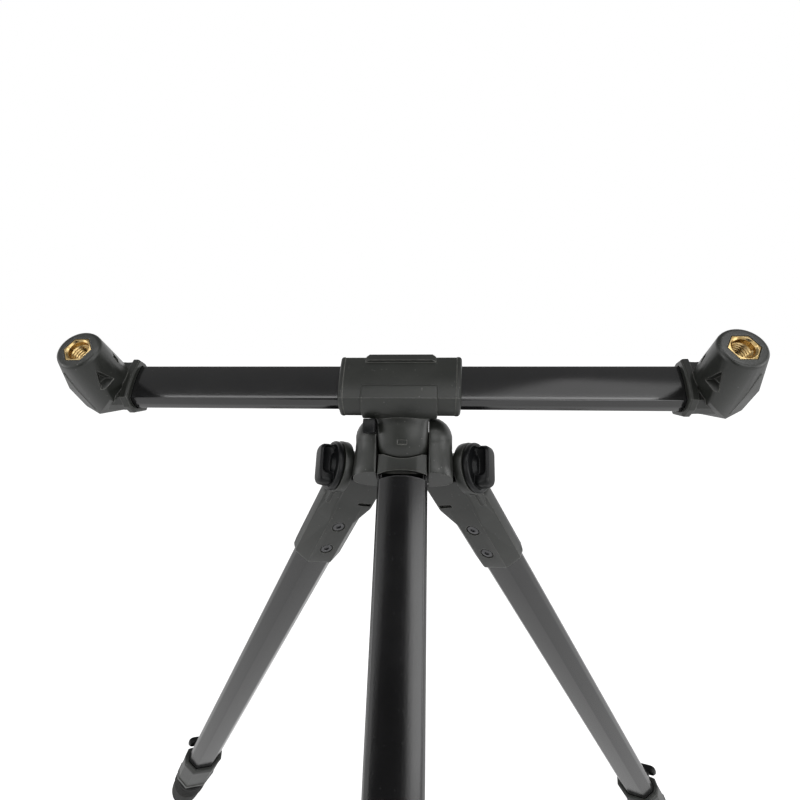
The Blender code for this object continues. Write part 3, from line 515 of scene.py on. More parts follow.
@dataclass(frozen=True)
class Layout:
    """Where the hub, the legs, the crossbar and the cups stand."""

    leg_tilt: float = math.radians(31.8)
    side_azimuth: float = math.radians(30.0)
    side_pivot: Vector = Vector((25.9, 14.7, -17.9)) * MM
    front_axis: Vector = Vector((0.0, 2.1, -1.5)) * MM
    leg_reach: float = 430.0 * MM
    upper_end: float = 385.0 * MM
    head_pivot: Vector = Vector((0.0, 8.0, 2.0)) * MM
    bar_centre: Vector = Vector((-2.8, 7.0, 29.2)) * MM
    bar_lean: float = math.radians(49.3)
    bar_half: float = 140.0 * MM
    cup_lean: float = math.radians(37.4)
    cup_at: float = 146.8 * MM
    cup_height: float = 34.0 * MM

    @property
    def hub(self) -> Matrix:
        """Return the frame of the hub's reference point."""
        joints = frame["record"]["behaviour"]["joints"]
        head = next(joint for joint in joints if joint["name"] == "head_tilt")
        return Matrix.Translation(Vector(head["pos_m"]) - self.head_pivot)

    def leg_down(self, azimuth: float) -> Vector:
        """Return the unit vector down a leg."""
        flat = math.sin(self.leg_tilt)
        return Vector((flat * math.cos(azimuth), flat * math.sin(azimuth), -math.cos(self.leg_tilt)))

    @property
    def fold_axis(self) -> Vector:
        """Return the axis on which the right leg folds."""
        front = self.leg_down(math.radians(-90.0))
        return front.cross(self.leg_down(self.side_azimuth)).normalized()

    def leg(self, side: Side) -> Matrix:
        """Return a side leg's frame: X inward, Y behind, Z down the leg."""
        down = self.leg_down(self.side_azimuth)
        inward = -self.fold_axis
        right = axes(self.side_pivot, inward, down.cross(inward), down)
        return self.hub @ (MIRROR @ right if side is Side.LEFT else right)

    @property
    def front_leg(self) -> Matrix:
        """Return the front leg's frame: X to the right, Y in front, Z down the leg."""
        down = self.leg_down(math.radians(-90.0))
        return self.hub @ axes(self.front_axis, ACROSS, down.cross(ACROSS), down)

    @property
    def front_shift(self) -> float:
        """Return how much higher the front leg starts than the side legs, along the leg."""
        return (self.front_axis.z - self.side_pivot.z) / math.cos(self.leg_tilt)

    @property
    def bar(self) -> Matrix:
        """Return the crossbar's frame: X up its face, Y out of its crown, Z along it."""
        normal = Vector((0.0, -math.cos(self.bar_lean), math.sin(self.bar_lean)))
        upward = Vector((0.0, math.sin(self.bar_lean), math.cos(self.bar_lean)))
        return self.hub @ axes(self.bar_centre, upward, normal, ACROSS)

    def cup(self, side: Side) -> Matrix:
        """Return a cup's frame, with Z along its axis."""
        axis = Vector((0.0, -math.cos(self.cup_lean), math.sin(self.cup_lean)))
        origin = self.bar_centre + ACROSS * side.value * self.cup_at
        return self.hub @ axes(origin, ACROSS, axis.cross(ACROSS), axis)

    @property
    def head(self) -> Matrix:
        """Return the head joint's frame, with Z along its axle."""
        return facing(self.hub, self.head_pivot, (1.0, 0.0, 0.0))

    @property
    def side_view(self) -> Matrix:
        """Return the frame in which the hub's outline is drawn: X behind, Y up, Z to the right."""
        return self.hub @ axes(self.head_pivot, BEHIND, UP, ACROSS)


PLACE = Layout()


# Materials


class Graph:
    """A node tree under construction, with short calls for its nodes and links."""

    def __init__(self, tree: bpy.types.NodeTree) -> None:
        """Work on a node tree."""
        self.tree = tree

    def node(self, kind: str, inputs: dict[str | int, object] | None = None,
             **settings: object) -> bpy.types.Node:
        """Add a node.

        Args:
            kind: its type.
            inputs: values or source sockets of its inputs.
            settings: its other settings.

        Returns:
            The node.
        """
        made = self.tree.nodes.new(kind)
        for name, value in settings.items():
            setattr(made, name, value)
        for name, value in (inputs or {}).items():
            if isinstance(value, bpy.types.NodeSocket):
                self.tree.links.new(value, made.inputs[name])
            else:
                made.inputs[name].default_value = value
        return made

    def ramp(self, source: bpy.types.NodeSocket, low: float, high: float, start: float,
             end: float) -> bpy.types.NodeSocket:
        """Return a value mapped from one range to another, clamped.

        Args:
            source: the value.
            low: the first range's start.
            high: its end.
            start: what the first range's start becomes.
            end: what its end becomes.

        Returns:
            The mapped value.
        """
        return self.node("ShaderNodeMapRange", {"Value": source, "From Min": low, "From Max": high,
                                                "To Min": start, "To Max": end}).outputs["Result"]

    def math(self, operation: str, first: object, second: object = 0.0) -> bpy.types.NodeSocket:
        """Return the result of one operation on two values."""
        return self.node("ShaderNodeMath", {0: first, 1: second}, operation=operation).outputs[0]

    def mix(self, share: object, first: object, second: object) -> bpy.types.NodeSocket:
        """Return two colours mixed by a share.

        Args:
            share: how much of the second colour there is.
            first: the first colour.
            second: the second colour.

        Returns:
            The mixed colour.
        """
        made = self.node("ShaderNodeMix", {"Factor": share}, data_type="RGBA")
        for name, value in (("A", first), ("B", second)):
            socket = next(item for item in made.inputs if item.name == name and item.type == "RGBA")
            if isinstance(value, bpy.types.NodeSocket):
                self.tree.links.new(value, socket)
            else:
                socket.default_value = value
        return next(item for item in made.outputs if item.type == "RGBA")


def surface_group() -> bpy.types.NodeTree:
    """Return the shared group of a moulded or coated surface: its mottle, grain, specks and smears."""
    name = "Surface detail"
    if name in bpy.data.node_groups:
        return bpy.data.node_groups[name]
    tree = bpy.data.node_groups.new(name, "ShaderNodeTree")
    for label, value in (("Mottle size", 0.02), ("Grain size", 0.0004), ("Speck size", 0.0012),
                         ("Speck share", 0.1)):
        socket = tree.interface.new_socket(name=label, in_out="INPUT", socket_type="NodeSocketFloat")
        socket.default_value = value
    for label in ("Mottle", "Grain", "Specks", "Smears"):
        tree.interface.new_socket(name=label, in_out="OUTPUT", socket_type="NodeSocketFloat")
    graph = Graph(tree)
    given = graph.node("NodeGroupInput").outputs
    spot = graph.node("ShaderNodeTexCoord").outputs["Object"]
    mottle_scale = graph.math("DIVIDE", 1.0, given["Mottle size"])
    grain_scale = graph.math("DIVIDE", 1.0, given["Grain size"])
    speck_scale = graph.math("DIVIDE", 1.0, given["Speck size"])
    mottle = graph.node("ShaderNodeTexNoise", {"Vector": spot, "Scale": mottle_scale, "Detail": 5.0,
                                               "Roughness": 0.6})
    grain = graph.node("ShaderNodeTexNoise", {"Vector": spot, "Scale": grain_scale, "Detail": 3.0,
                                              "Roughness": 0.65})
    specks = graph.node("ShaderNodeTexVoronoi", {"Vector": spot, "Scale": speck_scale, "Randomness": 1.0})
    chance = graph.node("ShaderNodeSeparateColor", {"Color": specks.outputs["Color"]})
    shown = graph.math("LESS_THAN", chance.outputs[0], given["Speck share"])
    near = graph.ramp(specks.outputs["Distance"], 0.10, 0.30, 1.0, 0.0)
    smear = graph.node("ShaderNodeTexNoise", {"Vector": spot, "Scale": 40.0, "Detail": 3.0})
    graph.node("NodeGroupOutput", {
        "Mottle": graph.ramp(mottle.outputs["Fac"], 0.3, 0.7, 0.0, 1.0), "Grain": grain.outputs["Fac"],
        "Specks": graph.math("MULTIPLY", shown, near),
        "Smears": graph.ramp(smear.outputs["Fac"], 0.55, 0.75, 0.0, 1.0)})
    return tree


@dataclass(frozen=True)
class Finish:
    """A finish: its colours, gloss and fine relief, and the pale colour on its edges, which is partly wear
    and partly a painted highlight.
    """

    slot: Slot
    dark: tuple[float, float, float]
    light: tuple[float, float, float]
    # pale colour of the specks and of the edges; on the edges it is partly real wear, partly a painted
    # highlight
    wear_and_highlight: tuple[float, float, float]
    rough: float
    rough_spread: float
    metal: float = 0.0
    specular: float = 0.5
    mottle_size: float = 0.02
    grain_size: float = 0.0004
    grain_depth: float = 0.00003
    speck_size: float = 0.0012
    speck_share: float = 0.1
    edge_radius: float = 0.0004
    # how strongly the edges take the pale colour: partly wear, partly a painted highlight along the edges
    edge_wear_and_highlight: float = 0.5

    def material(self) -> bpy.types.Material:
        """Return the finish as a material, with its nodes."""
        made = bpy.data.materials.new(self.slot.value + "_finish")
        made.use_nodes = True
        graph = Graph(made.node_tree)
        shader = made.node_tree.nodes["Principled BSDF"]
        detail = graph.node("ShaderNodeGroup", node_tree=surface_group())
        for name, value in (("Mottle size", self.mottle_size), ("Grain size", self.grain_size),
                            ("Speck size", self.speck_size), ("Speck share", self.speck_share)):
            detail.inputs[name].default_value = value
        soft = graph.node("ShaderNodeBevel", {"Radius": self.edge_radius}, samples=6)
        true = graph.node("ShaderNodeNewGeometry")
        turned = graph.node("ShaderNodeVectorMath", {0: soft.outputs["Normal"], 1: true.outputs["Normal"]},
                            operation="DOT_PRODUCT")
        # Edges are painted in the pale colour: partly real wear, partly a painted highlight that stands in
        # for light catching the rounded edges.
        edge = graph.ramp(turned.outputs["Value"], 0.995, 0.90, 0.0, 1.0)
        broken = graph.math("MULTIPLY", edge, graph.ramp(detail.outputs["Grain"], 0.35, 0.6, 0.2, 1.0))
        wear_and_highlight = graph.math("MULTIPLY", broken, self.edge_wear_and_highlight)
        base = graph.mix(detail.outputs["Mottle"], (*self.dark, 1.0), (*self.light, 1.0))
        speckled = graph.mix(graph.math("MULTIPLY", detail.outputs["Specks"], 0.5), base, (*self.wear_and_highlight, 1.0))
        colour = graph.mix(wear_and_highlight, speckled, (*self.wear_and_highlight, 1.0))
        spread = graph.math("MULTIPLY", detail.outputs["Mottle"], self.rough_spread)
        smeared = graph.math("MULTIPLY", detail.outputs["Smears"], -0.5 * self.rough_spread)
        rough = graph.math("ADD", graph.math("ADD", spread, smeared), self.rough)
        relief = graph.node("ShaderNodeBump", {
            "Height": detail.outputs["Grain"], "Distance": self.grain_depth, "Strength": 1.0,
            "Normal": soft.outputs["Normal"]})
        for name, source in (("Base Color", colour), ("Roughness", rough),
                             ("Normal", relief.outputs["Normal"])):
            made.node_tree.links.new(source, shader.inputs[name])
        shader.inputs["Metallic"].default_value = self.metal
        shader.inputs["Specular IOR Level"].default_value = self.specular
        return made


# The third colour and the edge strength of each finish paint the edges paler: partly wear, partly a painted
# highlight along the edges.
FINISHES = (
    Finish(Slot.PLASTIC, (0.020, 0.022, 0.019), (0.030, 0.032, 0.028), (0.26, 0.26, 0.24), 0.30, 0.10,
           specular=0.6, grain_size=0.0005, grain_depth=0.00003, speck_share=0.04, edge_radius=0.0006,
           edge_wear_and_highlight=0.85),
    Finish(Slot.TUBE, (0.008, 0.008, 0.0085), (0.013, 0.013, 0.0135), (0.10, 0.10, 0.10), 0.13, 0.05,
           specular=0.9, mottle_size=0.03, grain_size=0.0007, grain_depth=0.000025, speck_size=0.0008,
           speck_share=0.03, edge_radius=0.0006, edge_wear_and_highlight=0.35),
    Finish(Slot.KNOB, (0.004, 0.0045, 0.005), (0.006, 0.0065, 0.007), (0.05, 0.052, 0.055), 0.30, 0.10,
           specular=0.3, grain_depth=0.000015, speck_share=0.03, edge_radius=0.0007, edge_wear_and_highlight=0.3),
    Finish(Slot.BRASS, (0.50, 0.34, 0.13), (0.70, 0.52, 0.26), (0.90, 0.78, 0.52), 0.20, 0.14, metal=1.0,
           mottle_size=0.004, grain_size=0.0006, grain_depth=0.00001, speck_share=0.02, edge_radius=0.0002,
           edge_wear_and_highlight=0.7),
    Finish(Slot.STEEL, (0.085, 0.085, 0.088), (0.14, 0.14, 0.145), (0.32, 0.32, 0.32), 0.30, 0.12, metal=0.9,
           mottle_size=0.004, grain_size=0.0003, speck_share=0.02, edge_radius=0.00015, edge_wear_and_highlight=0.5),
    Finish(Slot.RUBBER, (0.014, 0.014, 0.014), (0.022, 0.022, 0.021), (0.06, 0.058, 0.054), 0.70, 0.15,
           grain_size=0.0008, grain_depth=0.00006, speck_share=0.15, edge_radius=0.0006, edge_wear_and_highlight=0.35),
)


class Workshop:
    """Turns shapes into finished pieces of the frame."""

    def __init__(self) -> None:
        """Make every finish once."""
        self.materials = {finish.slot: finish.material() for finish in FINISHES}

    def piece(self, name: str, shape: Shape, slot: Slot, body: str, nodes: Sequence[str],
              sharp: float = 35.0) -> bpy.types.Object:
        """Make a piece, let it ride on its body and hide the nodes that it stands for.

        Args:
            name: the piece's name.
            shape: its mesh, in place.
            slot: the material slot.
            body: the body on which it rides.
            nodes: the solids that it replaces.
            sharp: the angle in degrees from which an edge stays sharp.

        Returns:
            The piece.
        """
        data = shape.data(name)
        data.polygons.foreach_set("use_smooth", [True] * len(data.polygons))
        data.set_sharp_from_angle(angle=math.radians(sharp))
        data.materials.append(self.materials[slot])
        item = bpy.data.objects.new(name, data)
        bpy.context.scene.collection.objects.link(item)
        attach(item, body)
        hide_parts(*nodes)
        LOG.info("%s on %s: %d faces", name, body, len(data.polygons))
        return item


# The head: crossbar, clamp, neck, cups, inserts and lock lever


@dataclass(frozen=True)
class Crossbar:
    """The crossbar tube."""

    crease: float = 0.55 * MM

    def build(self, shop: Workshop) -> None:
        """Make the tube with softened creases.

        Args:
            shop: finishes the pieces.
        """
        half = PLACE.bar_half
        tube = pipe_of(BOW.outline(), BOW.wall, -half, half, self.crease)
        shop.piece("crossbar", tube.placed(PLACE.bar), Slot.TUBE, "head", ["crossbar_tube"], 50.0)


def pipe_of(outline: Outline, wall: float, low: float, high: float, corner: float) -> Shape:
    """Return an open tube with rounded corners.

    Args:
        outline: its outer section.
        wall: its wall.
        low: its lower end.
        high: its upper end.
        corner: how far the corners of the section are rounded.

    Returns:
        The tube.
    """
    bore = offset(outline, [-wall] * len(outline))
    outer = Shape.slab(outline, low, high, corner)
    return outer.changed(less(Shape.slab(bore, low - 5.0 * MM, high + 5.0 * MM, 0.5 * corner)))


@dataclass(frozen=True)
class Clamp:
    """The sleeve round the crossbar, with its raised rib."""

    shift: float = 1.3 * MM
    half: float = 29.8 * MM
    wall: float = 3.6 * MM
    rise: float = 0.8 * MM
    rim: float = 2.6 * MM
    flare: float = 0.055
    rib_half: float = 17.8 * MM
    rib_proud: float = 1.2 * MM
    rib_lip: float = 7.6 * MM
    rib_slope: float = 1.6 * MM

    def build(self, shop: Workshop) -> None:
        """Make the sleeve: rounded rims, a waist between them and the rib with chamfered ends.

        Args:
            shop: finishes the pieces.
        """
        low = self.shift - self.half
        high = self.shift + self.half
        steps = ((0.0, -1.7), (0.3, -0.85), (0.9, -0.25), (1.7, 0.0), (self.rim / MM, 0.0),
                 (self.rim / MM + 0.15, -0.2))
        rings = [raked(BOW.outline(self.wall + grow * MM, self.rise), low + up * MM, -self.flare)
                 for up, grow in steps]
        rings += [raked(BOW.outline(self.wall + grow * MM, self.rise), high - up * MM, self.flare)
                  for up, grow in reversed(steps)]
        sleeve = Shape.through(rings)
        crest = BOW.outline(self.wall + self.rib_proud, self.rise)
        slim = BOW.outline(self.wall + 0.1 * MM, self.rise)
        rib = Shape.through([at_height(slim, self.shift - self.rib_half - 0.2 * MM),
                             at_height(crest, self.shift - self.rib_half + self.rib_slope),
                             at_height(crest, self.shift + self.rib_half - self.rib_slope),
                             at_height(slim, self.shift + self.rib_half + 0.2 * MM)])
        rib.sliced(Vector((self.rib_lip, 0.0, 0.0)), Vector((-1.0, 0.25, 0.0)).normalized())
        rib.sliced(Vector((0.0, -2.0 * MM, 0.0)), Vector((0.0, -1.0, 0.0)))
        bore = Shape.slab(BOW.outline(GAP), low - 4.0 * MM, high + 4.0 * MM)
        sleeve.changed(also(rib) + less(bore))
        shop.piece("clamp_sleeve_finished", sleeve.placed(PLACE.bar), Slot.PLASTIC, "head", ["clamp_sleeve"])


@dataclass(frozen=True)
class Neck:
    """The neck: a crowned knuckle, a column and the strap round the clamp."""

    half: float = 12.5 * MM
    crown: float = 15.0 * MM
    ends: float = 0.56
    back: float = 9.6 * MM
    axle: float = 3.0 * MM
    strap_half: float = 18.6 * MM
    strap_proud: float = 1.2 * MM
    strap_lip: float = 5.8 * MM
    axle_half: float = 19.0 * MM
    column: tuple[tuple[float, float, float], ...] = (
        (0.0, 1.0, 1.0), (4.0, 1.025, 0.98), (8.0, 1.03, 0.90), (10.2, 1.03, 0.83), (11.2, 1.08, 0.79),
        (12.5, 1.16, 0.75), (14.0, 1.20, 0.71), (17.0, 1.24, 0.66))

    def knuckle(self, grow: float = 0.0) -> list[tuple[float, float]]:
        """Return the knuckle's radius and place along the axle, grown by a distance."""
        turns = [math.radians(-90.0 + 7.5 * step) for step in range(25)]
        return [((self.ends + (1.0 - self.ends) * math.cos(turn) ** 0.8) * self.crown + grow,
                 math.sin(turn) * self.half) for turn in turns]

    def build(self, shop: Workshop) -> None:
        """Make the neck and its axle.

        Args:
            shop: finishes the pieces.
        """
        clamp = Clamp()
        bore = self.axle + GAP
        profile = [(bore, -self.half)] + self.knuckle() + [(bore, self.half)]
        body = Shape.ring(profile, 72).placed(PLACE.head)
        rings = []
        for height, wide, deep in self.column:
            front = [Vector((place * wide, -radius * deep)) for radius, place in self.knuckle()]
            rear = [Vector((point.x, min(-point.y, self.back))) for point in reversed(front)]
            rings.append(at_height(front + rear, height * MM))
        base = PLACE.hub @ Matrix.Translation(Vector((0.0, PLACE.head_pivot.y, PLACE.head_pivot.z)))
        stem = Shape.through(rings).placed(base)
        notch = Shape.block((-2.3 * MM, -1.0 * MM, -1.1 * MM), (2.3 * MM, 0.5 * MM, 1.1 * MM))
        notch.placed(base @ Matrix.Translation(Vector((0.0, -self.crown, 1.6 * MM))))
        outer = BOW.outline(clamp.wall + self.strap_proud, clamp.rise)
        strap = Shape.slab(outer, clamp.shift - self.strap_half, clamp.shift + self.strap_half)
        strap.sliced(Vector((-self.strap_lip, 0.0, 0.0)), Vector((1.0, 0.0, 0.0)))
        far = 40.0 * MM
        tail = Shape.block((-self.strap_lip - MM, -BOW.flat_drop * BOW.width - 6.0 * MM, -far),
                           (far, far, far))
        strap.changed(less(tail))
        strap.edged(1.0 * MM, 3, 60.0).placed(PLACE.bar)
        hollow = Shape.slab(BOW.outline(clamp.wall + GAP, clamp.rise), -far, far).placed(PLACE.bar)
        hole = Shape.drum(bore, -far, far, 40).placed(PLACE.head)
        body.changed(also(stem, strap) + less(hollow, hole, notch))
        shop.piece("head_neck_finished", body, Slot.PLASTIC, "head", ["head_neck"])
        end = self.axle_half
        edge = 0.4 * MM
        pin = Shape.turned([(0.0, -end), (self.axle - edge, -end), (self.axle, edge - end),
                            (self.axle, end - edge), (self.axle - edge, end), (0.0, end)], 32)
        shop.piece("head_axle_pin", pin.placed(PLACE.head), Slot.STEEL, "base", ["head_axle"])


@dataclass(frozen=True)
class EndCap:
    """An end cap: the collar on the crossbar and the elbow that ends in a round cup."""

    side: Side
    face: float = 10.25 * MM
    rim: float = 1.9 * MM
    rake: float = 0.17
    wall: float = 2.8 * MM
    rise: float = 0.6 * MM
    mouth: float = 11.8 * MM
    inner: float = 6.4 * MM
    crease: float = 8.2 * MM
    corner: float = 15.0 * MM
    outer: float = 17.6 * MM
    shoulder: float = 12.0 * MM
    hexagon: float = 6.7 * MM
    depth: float = 16.0 * MM
    pit_depth: float = 3.0 * MM
    pit_corners: tuple[tuple[float, float, float], ...] = ((-13.2, 25.2, -7.4), (-7.9, 14.1, -7.2),
                                                           (-15.4, 14.2, -4.4))
    seam_half: float = 0.3 * MM
    thread_root: float = 4.62 * MM
    thread_crest: float = 4.05 * MM
    thread_pitch: float = 1.27 * MM
    thread_turns: int = 10

    def elbow(self) -> Shape:
        """Return the elbow in the crossbar's frame, a hull from the round face to the squared foot."""
        to_bar = PLACE.bar.inverted() @ PLACE.cup(self.side)
        points = []
        for turn in (math.radians(step) for step in range(0, 91, 10)):
            ring = circle(self.face - self.rim * (1.0 - math.cos(turn)), 60)
            level = PLACE.cup_height - self.rim * (1.0 - math.sin(turn))
            points += [to_bar @ point for point in at_height(ring, level)]
        half = 0.5 * BOW.width + self.wall
        crown = BOW.crease_rise * BOW.width + self.wall + self.rise
        under = -BOW.side_drop * BOW.width - 0.5 * self.wall
        flat = -BOW.flat_drop * BOW.width - self.wall + self.rise
        foot = []
        for lean, reach in ((0.72, -0.2), (0.5, 0.35), (0.2, 0.86), (-0.05, 0.98), (-0.26, 1.0), (-0.5, 0.93),
                            (-0.65, 0.85), (-0.85, 0.74), (-1.0, 0.65)):
            foot.append((lean * half, crown, PLACE.cup_at - reach * self.inner))
        for lean, reach in ((1.0, self.crease), (0.82, self.corner), (0.4, self.outer)):
            for height in (self.shoulder, under + 0.45 * (reach - self.crease)):
                foot.append((lean * half, height, PLACE.cup_at + reach))
                foot.append((-lean * half, height, PLACE.cup_at + reach))
        foot += [(BOW.flat_span * BOW.width, flat, PLACE.cup_at),
                 (-BOW.flat_span * BOW.width, flat, PLACE.cup_at)]
        points += [Vector((up, out, self.side.value * along)) for up, out, along in foot]
        return Shape.hull(points)

    def collar(self) -> Shape:
        """Return the collar in the crossbar's frame: a rolled rim, a valley and the sleeve behind it."""
        steps = ((0.0, -0.9), (0.3, -0.3), (1.0, 0.0), (3.4, 0.0), (3.8, -0.4), (4.3, -1.3), (7.5, -1.4),
                 (8.6, -1.3), (self.mouth / MM + 6.0, -1.3))
        rings = []
        for up, grow in steps:
            place = self.side.value * (PLACE.cup_at - self.mouth + up * MM)
            slope = self.side.value * self.rake if up < self.mouth / MM else 0.0
            rings.append(raked(BOW.outline(self.wall + grow * MM, self.rise), place, slope))
        return Shape.through(rings)

    def recess(self) -> Shape:
        """Return the tool that cuts the three-cornered pit in the elbow's inner side."""
        sign = self.side.value
        corners = [Vector((up, out, sign * (PLACE.cup_at / MM + along))) * MM
                   for up, out, along in self.pit_corners]
        middle = 0.2 * corners[0] + 0.4 * corners[1] + 0.4 * corners[2]
        inward = Vector((0.59, 0.09, sign * 0.80)).normalized()
        floor = [middle + 0.4 * (corner - middle) + self.pit_depth * inward for corner in corners]
        mouth = [corner + 1.6 * (corner - low) for corner, low in zip(corners, floor)]
        return Shape.through([mouth, floor])

    def seam(self) -> Shape:
        """Return the fine mould seam down the elbow's outer front edge."""
        half = 0.5 * BOW.width + self.wall
        rings = []
        for up, out, along in ((-14.75 * MM, 25.5 * MM, 7.6 * MM), (0.1 * MM - half, 13.5 * MM, self.crease),
                               (0.1 * MM - half, -1.5 * MM, self.crease)):
            middle = Vector((up, out, self.side.value * (PLACE.cup_at + along)))
            rings.append([middle + Vector((x, 0.0, z)) * self.seam_half
                          for x, z in ((1, 0), (0, 1), (-1, 0), (0, -1))])
        return Shape.through(rings)

    def build(self, shop: Workshop) -> None:
        """Make the cap with its mould seam, its side pit, its small slot and the pocket.

        Args:
            shop: finishes the pieces.
        """
        sign = self.side.value
        word = self.side.word
        elbow = self.elbow()
        bore = Shape.slab(BOW.outline(GAP), *sorted((sign * (PLACE.cup_at - self.mouth - MM),
                                                     sign * (PLACE.bar_half + GAP))))
        to_bar = PLACE.bar.inverted() @ PLACE.cup(self.side)
        out = Vector((-sign * 0.819, 0.574, 0.0))
        slot = Shape.block((-2.6 * MM, -1.7 * MM, 0.0), (2.6 * MM, 1.7 * MM, 12.0 * MM))
        slot.placed(to_bar @ axes(out * 7.5 * MM + UP * 19.2 * MM, UP, out.cross(UP), out))
        recess = self.recess()
        pocket = Shape.slab(circle(self.hexagon + GAP, 6), PLACE.cup_height - self.depth - GAP,
                            PLACE.cup_height + MM).placed(to_bar)
        elbow.changed(also(self.collar(), self.seam()) + less(bore, recess, slot, pocket))
        shop.piece(word + "_cup", elbow.placed(PLACE.bar), Slot.PLASTIC, "head", [word + "_end_cap"], 14.0)
        self.insert(shop)

    def insert(self, shop: Workshop) -> None:
        """Make the brass insert: a chamfered hexagon with a countersunk, threaded bore.

        Args:
            shop: finishes the pieces.
        """
        top = PLACE.cup_height
        bottom = top - self.depth
        root = self.thread_root
        crest = self.thread_crest
        pitch = self.thread_pitch
        body = Shape.slab(circle(self.hexagon, 6), bottom, top - 0.05 * MM)
        body.rounded(0.25 * MM, 2, lambda edge: all(vert.co.z > top - 0.1 * MM for vert in edge.verts))
        mouth = root + 0.9 * MM
        bore = Shape.turned([(0.0, bottom - MM), (root, bottom - MM), (root, top - 0.75 * MM),
                             (mouth, top + 0.1 * MM), (mouth, top + MM), (0.0, top + MM)], 48)
        body.changed(less(bore))
        ridge = Shape()
        profile = [(root + 0.12 * MM, 0.0), (crest, 0.45 * pitch), (crest, 0.55 * pitch),
                   (root + 0.12 * MM, 0.98 * pitch)]
        steps = 40
        points = [ridge.mesh.verts.new((radius, 0.0, bottom + height)) for radius, height in profile]
        face = ridge.mesh.faces.new(points)
        bmesh.ops.spin(ridge.mesh, geom=[face], cent=ORIGIN, axis=UP, dvec=UP * (pitch / steps),
                       angle=2.0 * math.pi * self.thread_turns, steps=steps * self.thread_turns,
                       use_merge=False)
        thread = ridge.outward().data("thread")
        body.mesh.from_mesh(thread)
        bpy.data.meshes.remove(thread)
        word = self.side.word
        shop.piece(word + "_brass_insert", body.placed(PLACE.cup(self.side)), Slot.BRASS, "head",
                   [word + "_insert"], 25.0)


@dataclass(frozen=True)
class LockLever:
    """The black lever that locks the head, left of the neck."""

    inside: float = 13.1 * MM
    thick: float = 6.0 * MM
    radius_in: float = 12.4 * MM
    radius_out: float = 19.0 * MM

    def build(self, shop: Workshop) -> None:
        """Make the lever as a sector with rounded edges.

        Args:
            shop: finishes the pieces.
        """
        centre = Vector((0.0, 0.0))
        outline = arc(centre, self.radius_in, 157.0, 133.0, 10)
        outline += arc(centre, self.radius_out, 136.0, 158.0, 10)
        lever = Shape.slab(outline, -self.inside - self.thick, -self.inside)
        lever.edged(0.9 * MM, 4, 45.0)
        shop.piece("head_lever", lever.placed(PLACE.side_view), Slot.KNOB, "head_lever", ["head_lock_lever"],
                   50.0)


# The hub and the front leg's top


@dataclass(frozen=True)
class SideHinge:
    """The sizes that the hub and a side leg's bracket share."""

    boss_radius: float = 13.6 * MM
    boss_in: float = 7.9 * MM
    boss_out: float = 13.0 * MM
    lug_radius: float = 9.4 * MM
    lug_in: float = -12.0 * MM
    hood_top: float = -3.0 * MM
    hood_inward: float = 12.6 * MM
    hood_room: float = 16.0 * MM
    trunnion: float = 4.0 * MM
    trunnion_reach: float = 2.3 * MM


HINGE = SideHinge()


@dataclass(frozen=True)
class FrontPanel:
    """The front bracket: the panel over the tube's top and the shell behind it."""

    top: float = 5.0 * MM
    end: float = 16.4 * MM
    proud: float = 1.4 * MM
    tube_top: float = 13.8 * MM
    arch: float = 38.0 * MM
    arch_lift: float = 0.9 * MM
    arch_front: float = 1.5 * MM
    screw_shift: float = -12.0 * MM
    shell_end: float = 60.0 * MM
    shell_span: float = 0.36
    wall: float = 2.0 * MM
    room: float = 0.7 * MM

    def outline(self, grow: float = 0.0) -> Outline:
        """Return the bracket's outline, seen along the front leg, grown by a distance."""
        crest = BOW.crease_rise * BOW.width + BOW.crown + self.proud
        width = 0.5 * BOW.width - GAP
        back = -BOW.flat_drop * BOW.width - self.wall
        half = [(width, back + 4.0 * MM), (width, crest - 1.2 * MM), (0.6 * width, crest)]
        points = [Vector((-width + 5.0 * MM, back)), Vector((width - 5.0 * MM, back))]
        points += [Vector(point) for point in half]
        points += [Vector((-x, y)) for x, y in reversed(half)]
        return offset(points, [grow] * len(points))

    def build(self, shop: Workshop) -> None:
        """Make the bracket with its arched lower edge, and its two screws.

        Args:
            shop: finishes the pieces.
        """
        place = PLACE.front_leg
        back = -BOW.flat_drop * BOW.width - self.wall
        panel = Shape.slab(self.outline(), self.top, self.end, 0.5 * MM)
        half = self.shell_span * BOW.width
        shell = Shape.block((-half, back, self.end - MM), (half, back + 4.0 * MM, self.shell_end))
        shell.edged(0.8 * MM, 3, 60.0)
        centre = self.tube_top - self.arch_lift + self.arch
        arch = Shape.drum(self.arch, 0.0, 30.0 * MM, 128)
        arch.placed(Matrix.Translation(Vector((0.0, self.arch_front, centre)))
                    @ Matrix.Rotation(math.radians(-90.0), 4, "X"))
        bore = Shape.slab(BOW.outline(GAP), self.tube_top, self.shell_end + 2.0 * MM)
        panel.changed(also(shell) + less(arch, bore)).placed(place)
        grown = Neck().knuckle(self.room)
        end = 14.0 * MM
        dip = [(0.0, -end), (grown[0][0], -end)] + grown + [(grown[-1][0], end), (0.0, end)]
        panel.changed(less(Shape.turned(dip, 72).placed(PLACE.head)))
        screws = Screw.pair("front", place, self.screw_shift, back)
        panel.changed(less(*[screw.seat() for screw in screws]))
        shop.piece("front_bracket_finished", panel, Slot.PLASTIC, "base", ["front_bracket"])
        for screw in screws:
            screw.build(shop, "base")


